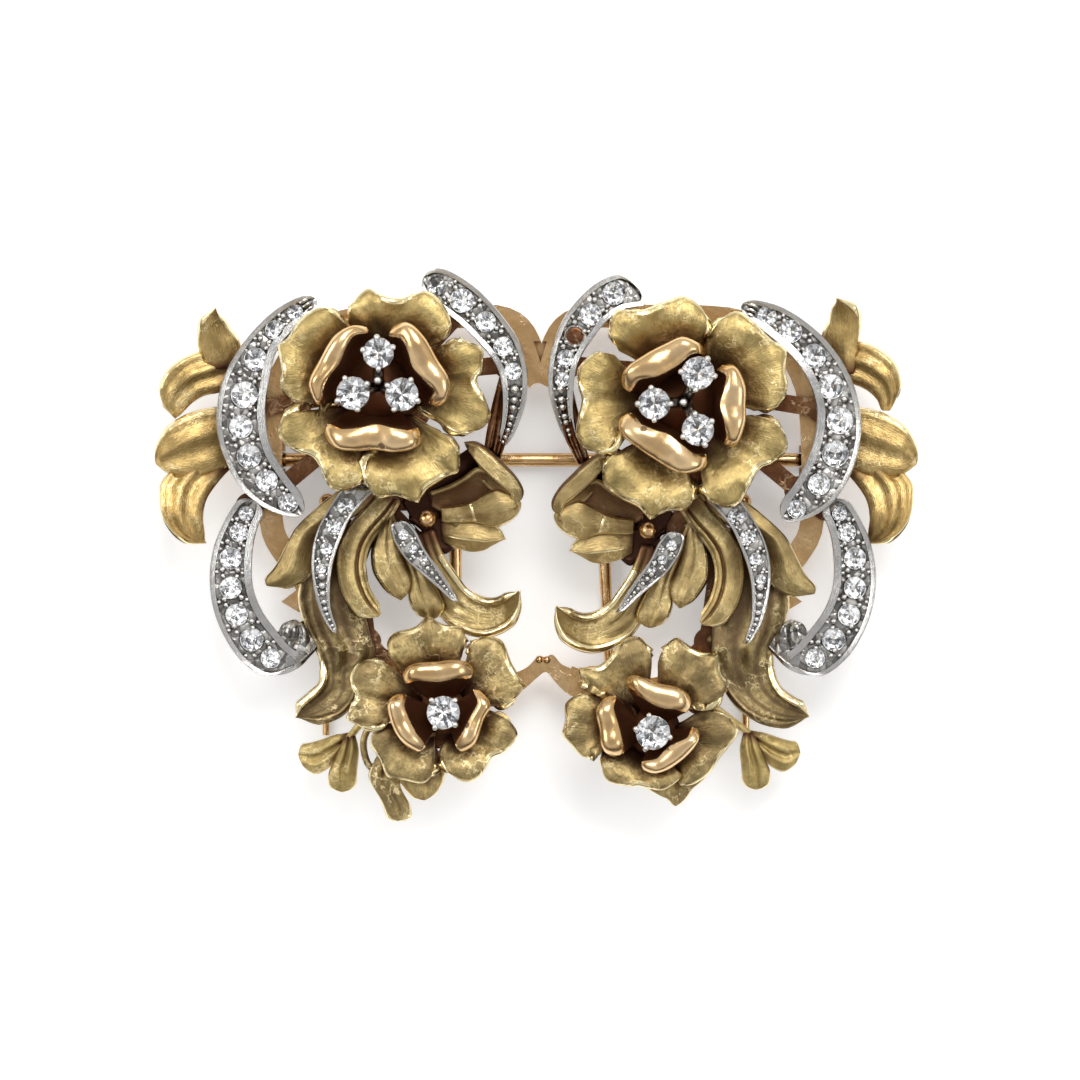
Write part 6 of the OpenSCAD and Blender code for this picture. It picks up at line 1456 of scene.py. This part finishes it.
def petalGrid(rows, centre, flower):
    # lines from the root out to the edge; the lobes stand up and the valleys between them sink
    form = petalForm
    edge = smoothRows(rows, form["steps"])
    mid = rows[len(rows) // 2]
    middle = math.atan2(mid[1] - centre[1], mid[0] - centre[0])
    reach = [math.dist(centre, e[:2]) for e in edge]
    span = form["steps"] * 2
    swell = []
    for j in range(len(edge)):
        near = reach[max(0, j - span):j + span + 1]
        swell.append(clamp(reach[j] - sum(near) / len(near), *form["swell"]))
    grid = []
    for i in range(form["deep"] + 1):
        t = i / form["deep"]
        line = []
        for j, e in enumerate(edge):
            turn = wrapped(math.atan2(e[1] - centre[1], e[0] - centre[0]) - middle)
            root = onCircle(*centre, flower["petalRoot"], middle + flower["share"] * turn)
            lobe = clamp(form["lobe"][0] + swell[j] * form["lobe"][1])
            flank = clamp((abs(2 * j / (len(edge) - 1) - 1) - form["flank"]) * 4) ** 2
            z = mix(flower["hubZ"], e[2] + form["edgeLift"], 1 - (1 - t) ** 2)
            z += min(0, swell[j]) * flower["fold"] * t ** 1.2 * (1 - t ** 4)
            curl = clamp((t - form["curlFrom"]) / (1 - form["curlFrom"])) ** 2
            z -= (lobe * flower["curl"] + flank * form["flankDrop"]) * curl
            line.append((*between(root, e[:2], t), z))
        grid.append(line)
    return grid


def petalTint(u, v):
    # painted shade toward the root, with some patina
    return -clamp(1.15 - u * 2.4)


def roundEnds(rows, steps):
    # the band keeps its width to the end and closes in a round
    path = smoothRows(rows, steps)
    last = len(path) - 1
    out = []
    for i, r in enumerate(path):
        for near, far in ((i, steps), (last - i, last - steps)):
            if near < steps:
                s = 1 - near / steps
                full = path[far]
                grow = math.sqrt(max(0.0, 1 - s * s)) * 0.96 + 0.04
                half = ((full[2] - full[0]) / 2 * grow, (full[3] - full[1]) / 2 * grow)
                x, y = rowMiddle(r)
                r = (x - half[0], y - half[1], x + half[0], y + half[1], r[4] - 0.25 * s * s)
        out.append(r)
    return out


def rollRing(r, centre, rootR, rootZ):
    # one section of a rolled petal, from its root up over the crest and back
    inner, outer, z = Vector(r[:2]), Vector(r[2:4]), r[4]
    middle = (inner + outer) / 2
    away = (middle - Vector(centre)).normalized()
    rootIn = Vector(centre) + away * rootR
    rootOut = Vector(centre) + away * (rootR + 0.7)
    w = min(1, (outer - inner).length / 1.4)
    low = middle.lerp(outer, 0.55)
    return [(*rootIn, rootZ + 0.1), (*rootIn.lerp(inner, 0.75), mix(rootZ, z, 0.5)),
            (*rootIn.lerp(inner, 0.97), z - 0.75), (*inner, z - 0.36 * w),
            (*inner.lerp(middle, 0.12), z - 0.24 * w),
            (*inner.lerp(middle, 0.6), z - 0.04 * w), (*middle.lerp(outer, 0.3), z - 0.04),
            (*middle.lerp(outer, 0.8), z - 0.3 * w), (*outer, z - 0.75 * w), (*low, z - 1.0 - 0.5 * w),
            (*rootOut.lerp(low, 0.75), mix(rootZ, z, 0.4)), (*rootOut, rootZ)]


# the rolls' roots and undersides darkened: painted shade
rollTints = [-1, -1, -0.8, 0, 0, 0, 0, 0, 0, -0.2, -1, -1]


def hub(shape, centre, radius, z, thick):
    # a disc at the flower's centre, all in painted shade
    shape.wire([(*centre, z - thick), (*centre, z)], radius, 24, 0, -1)


def makePetals(side, flower):
    centre, z = flower["centre"][side], flower["hubZ"]
    petals = Shape(side)
    for rows in flower["petals"][side]:
        petals.sheet(petalGrid(rows, centre, flower), flower["thick"], petalTint)
    hub(petals, centre, flower["hubRadius"], z, petalForm["hubThick"])
    petals.wire([(*centre, footing["z"]), (*centre, z - petalForm["trunkSink"])], petalForm["trunk"], 20)
    if "leaflets" in flower:
        for rows in flower["leaflets"][side]:
            petals.sheet(leafGrid(rows, veined, 1.3), flower["leafletThick"], leafTint)
        petals.wire([flower["twigRoot"], (*centre, flower["twigZ"])], flower["twig"])
        if side == "left":
            petals.wire(smoothRows(flower["stem"], 6), flower["stemRadius"])
    node = side + flower["node"] + "_petals"
    petals.build(side + flower["piece"] + "Petals", [flower["finish"]], "satin_gold", [node])


def makeRolls(side, flower):
    centre, z = flower["centre"][side], flower["hubZ"]
    rolls = Shape(side)
    root, base = flower["rollRoot"], z + flower["rollGap"]
    tints = [t[0] for t in smoothRows([(t,) for t in rollTints], 3, True)]
    for rows in flower["rolls"][side]:
        sections = [rollRing(r, centre, root, base) for r in roundEnds(rows, 8)]
        rolls.tube([smoothRows(section, 3, True) for section in sections], 0, tints)
    wider, higher, thick = petalForm["rollHub"]
    hub(rolls, centre, root + wider, z + higher, thick)
    node = side + flower["node"] + "_inner_petals"
    rolls.build(side + flower["piece"] + "Rolls", ["bright"], "polished_gold", [node])


# A stone's setting; claws and their tips: share of the stone's width, what is added, height
settingForm = {
    "collarDrop": 0.12, "collarFit": 0.98, "collarWall": 0.07, "collarDepth": 1.2,
    "cup": (-1.9, -1.25), "cupRadii": (0.2, 0.36), "clawRadii": [0.17, 0.17, 0.2],
    "claw": ((0.22, 0, -1.8), (0.46, 0, -0.7), (0.5, 0.14, 0.05), (0.5, 0.03, 0.13)),
    "armEnd": -1.7, "knobWire": 0.3, "knobSink": 0.2,
}


def makeSetting(side, flower):
    # slot 0: claws and knob; slot 1: collars, arms and post
    centre, z = flower["centre"][side], flower["hubZ"]
    gems = flower["gems"][side]
    gz = flower["gemZ"]
    form = settingForm
    wall, depth = form["collarWall"], form["collarDepth"]
    setting = Shape(side)
    for x, y, d, *angles in gems:
        collar(setting, x, y, gz - form["collarDrop"], d / 2 * form["collarFit"], wall, depth, 1)
        radii = [d * share for share in form["cupRadii"]]
        setting.wire([(x, y, gz + h) for h in form["cup"]], radii, 20, 1)
        for angle in angles:
            a = math.radians(angle)
            *path, tip = [(*onCircle(x, y, d * k + more, a), gz + h) for k, more, h in form["claw"]]
            setting.wire(path, form["clawRadii"])
            setting.ball(tip, flower["claw"], 0.8, 0, 10)
        if "arms" in flower:
            end = (x, y, gz + form["armEnd"])
            setting.wire([(*centre, flower["armZ"]), end], flower["arms"], 10, 1)
    setting.wire([(*centre, z + 0.05), (*centre, flower["postTop"])], flower["post"], 16, 1)
    if "knob" in flower:
        # the rough knob between the three stones
        spot = (sum(g[0] for g in gems) / 3, sum(g[1] for g in gems) / 3)
        radius, knobZ = flower["knob"]
        setting.wire([(*spot, flower["knobStem"]), (*spot, knobZ - form["knobSink"])], form["knobWire"])
        setting.ball((*spot, knobZ), radius)
    node = side + flower["node"] + "_setting"
    setting.build(side + flower["piece"] + "Setting", ["claw", "white"], "platinum", [node])


def makeFlower(side, flower):
    makePetals(side, flower)
    makeRolls(side, flower)
    makeSetting(side, flower)
    gems = flower["gems"][side]
    for i, (x, y, d, *angles) in enumerate(gems):
        gem = Shape(side)
        brilliant(gem, x, y, flower["gemZ"], d, 0.3 + i)
        number = str(i + 1)
        node = side + "_big_stone_" + number if len(gems) > 1 else side + "_small_stone"
        gem.build(side + flower["piece"] + "Stone" + number, ["crown", "back"], "diamond", [node])


for side in sides:
    makeSideLeaves(side)
    makeSpray(side)
    makeScrolls(side)
    makeBell(side)
    makeBud(side)
    makeOuterRibbon(side)
    makeTopRibbon(side)
    makeLowerRibbon(side)
    makeInnerRibbons(side)
    makeFlower(side, bigFlower)
    makeFlower(side, smallFlower)
    print(side, "clip made")

# The frame, pin and clip fittings keep their own solids, with softened edges
hardware = {"edge": 0.00035, "segments": 3, "angle": 35, "nodes": ["brooch_frame", "pin_stem"]}


def finishHardware(name):
    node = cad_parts[name]
    node.data.materials.clear()
    # the clip bases take the darkened backing finish: painted shade
    node.data.materials.append(materials["under" if name.endswith("clip_base") else "frame"])
    bevel = node.modifiers.new("softEdge", "BEVEL")
    bevel.width = hardware["edge"]
    bevel.segments = hardware["segments"]
    bevel.limit_method = "ANGLE"
    bevel.angle_limit = math.radians(hardware["angle"])


for side in sides:
    hardware["nodes"] += [side + "_clip_base", side + "_clip_lever"]
for name in hardware["nodes"]:
    finishHardware(name)
print("frame and fittings finished")

# Studio: pale floor, soft boxes and a plain graded sky, in metres
studio = {
    "floor": 1.6, "floorTone": (0.93, 0.93, 0.93), "floorGlow": 0.32, "floorRough": 0.7,
    "boxes": [
        {"name": "topBox", "place": (0.12, 0.42, 0.62), "size": 0.42, "power": 3.2},
        {"name": "leftBox", "place": (-0.50, 0.12, 0.42), "size": 0.30, "power": 1.1},
        {"name": "rightBox", "place": (0.48, -0.12, 0.40), "size": 0.22, "power": 0.4},
    ],
    "zenith": (0.66, 0.67, 0.69), "ring": (1.0, 1.0, 0.99), "horizon": (0.12, 0.105, 0.09),
    "strength": 0.78, "northLift": 0.25, "horizonEnds": (0.05, 0.5), "zenithEnds": (0.72, 0.99),
}


def makeStudio():
    half = studio["floor"] / 2
    mesh = bpy.data.meshes.new("floor")
    corners = [(-half, -half, 0), (half, -half, 0), (half, half, 0), (-half, half, 0)]
    mesh.from_pydata(corners, [], [(0, 1, 2, 3)])
    p = Paint(bpy.data.materials.new("paleFloor"))
    glow = {"Emission Color": (1, 1, 1), "Emission Strength": studio["floorGlow"]}
    p.surface({"Base Color": studio["floorTone"], "Roughness": studio["floorRough"], **glow})
    mesh.materials.append(p.owner)
    floor = bpy.data.objects.new("floor", mesh)
    bpy.context.scene.collection.objects.link(floor)
    for box in studio["boxes"]:
        light = bpy.data.lights.new(box["name"], "AREA")
        light.energy = box["power"]
        light.size = box["size"]
        lamp = bpy.data.objects.new(box["name"], light)
        lamp.location = box["place"]
        lamp.rotation_euler = (-Vector(box["place"])).to_track_quat("-Z", "Y").to_euler()
        bpy.context.scene.collection.objects.link(lamp)
    world = bpy.data.worlds.new("studioSky")
    bpy.context.scene.world = world
    sky = Paint(world)
    place = sky.node("ShaderNodeTexCoord", {}, {}, "Generated")
    height = sky.node("ShaderNodeSeparateXYZ", {}, {"Vector": place}, "Z")
    northing = sky.node("ShaderNodeSeparateXYZ", {}, {"Vector": place}, "Y")
    lift = height + northing * studio["northLift"]
    tone = sky.blend(lift.ramp(*studio["horizonEnds"]), studio["horizon"], studio["ring"])
    tone = sky.blend(height.ramp(*studio["zenithEnds"]), tone, studio["zenith"])
    ground = world.node_tree.nodes["Background"]
    sky.join(ground.inputs["Color"], tone)
    ground.inputs["Strength"].default_value = studio["strength"]


def makeCamera():
    c = camera
    data = bpy.data.cameras.new("camera")
    data.sensor_width = c["sensor"]
    data.lens = c["sensor"] * (c["height"] - c["focusZ"]) / c["pictureWidth"]
    data.clip_start, data.clip_end = c["clip"]
    eye = bpy.data.objects.new("camera", data)
    eye.location = (c["middle"][0] * mm, c["middle"][1] * mm, c["height"] * mm)
    bpy.context.scene.collection.objects.link(eye)
    bpy.context.scene.camera = eye


makeStudio()
makeCamera()
bpy.context.scene.view_settings.view_transform = "Standard"
print("studio and camera placed")

bpy.context.view_layer.update()
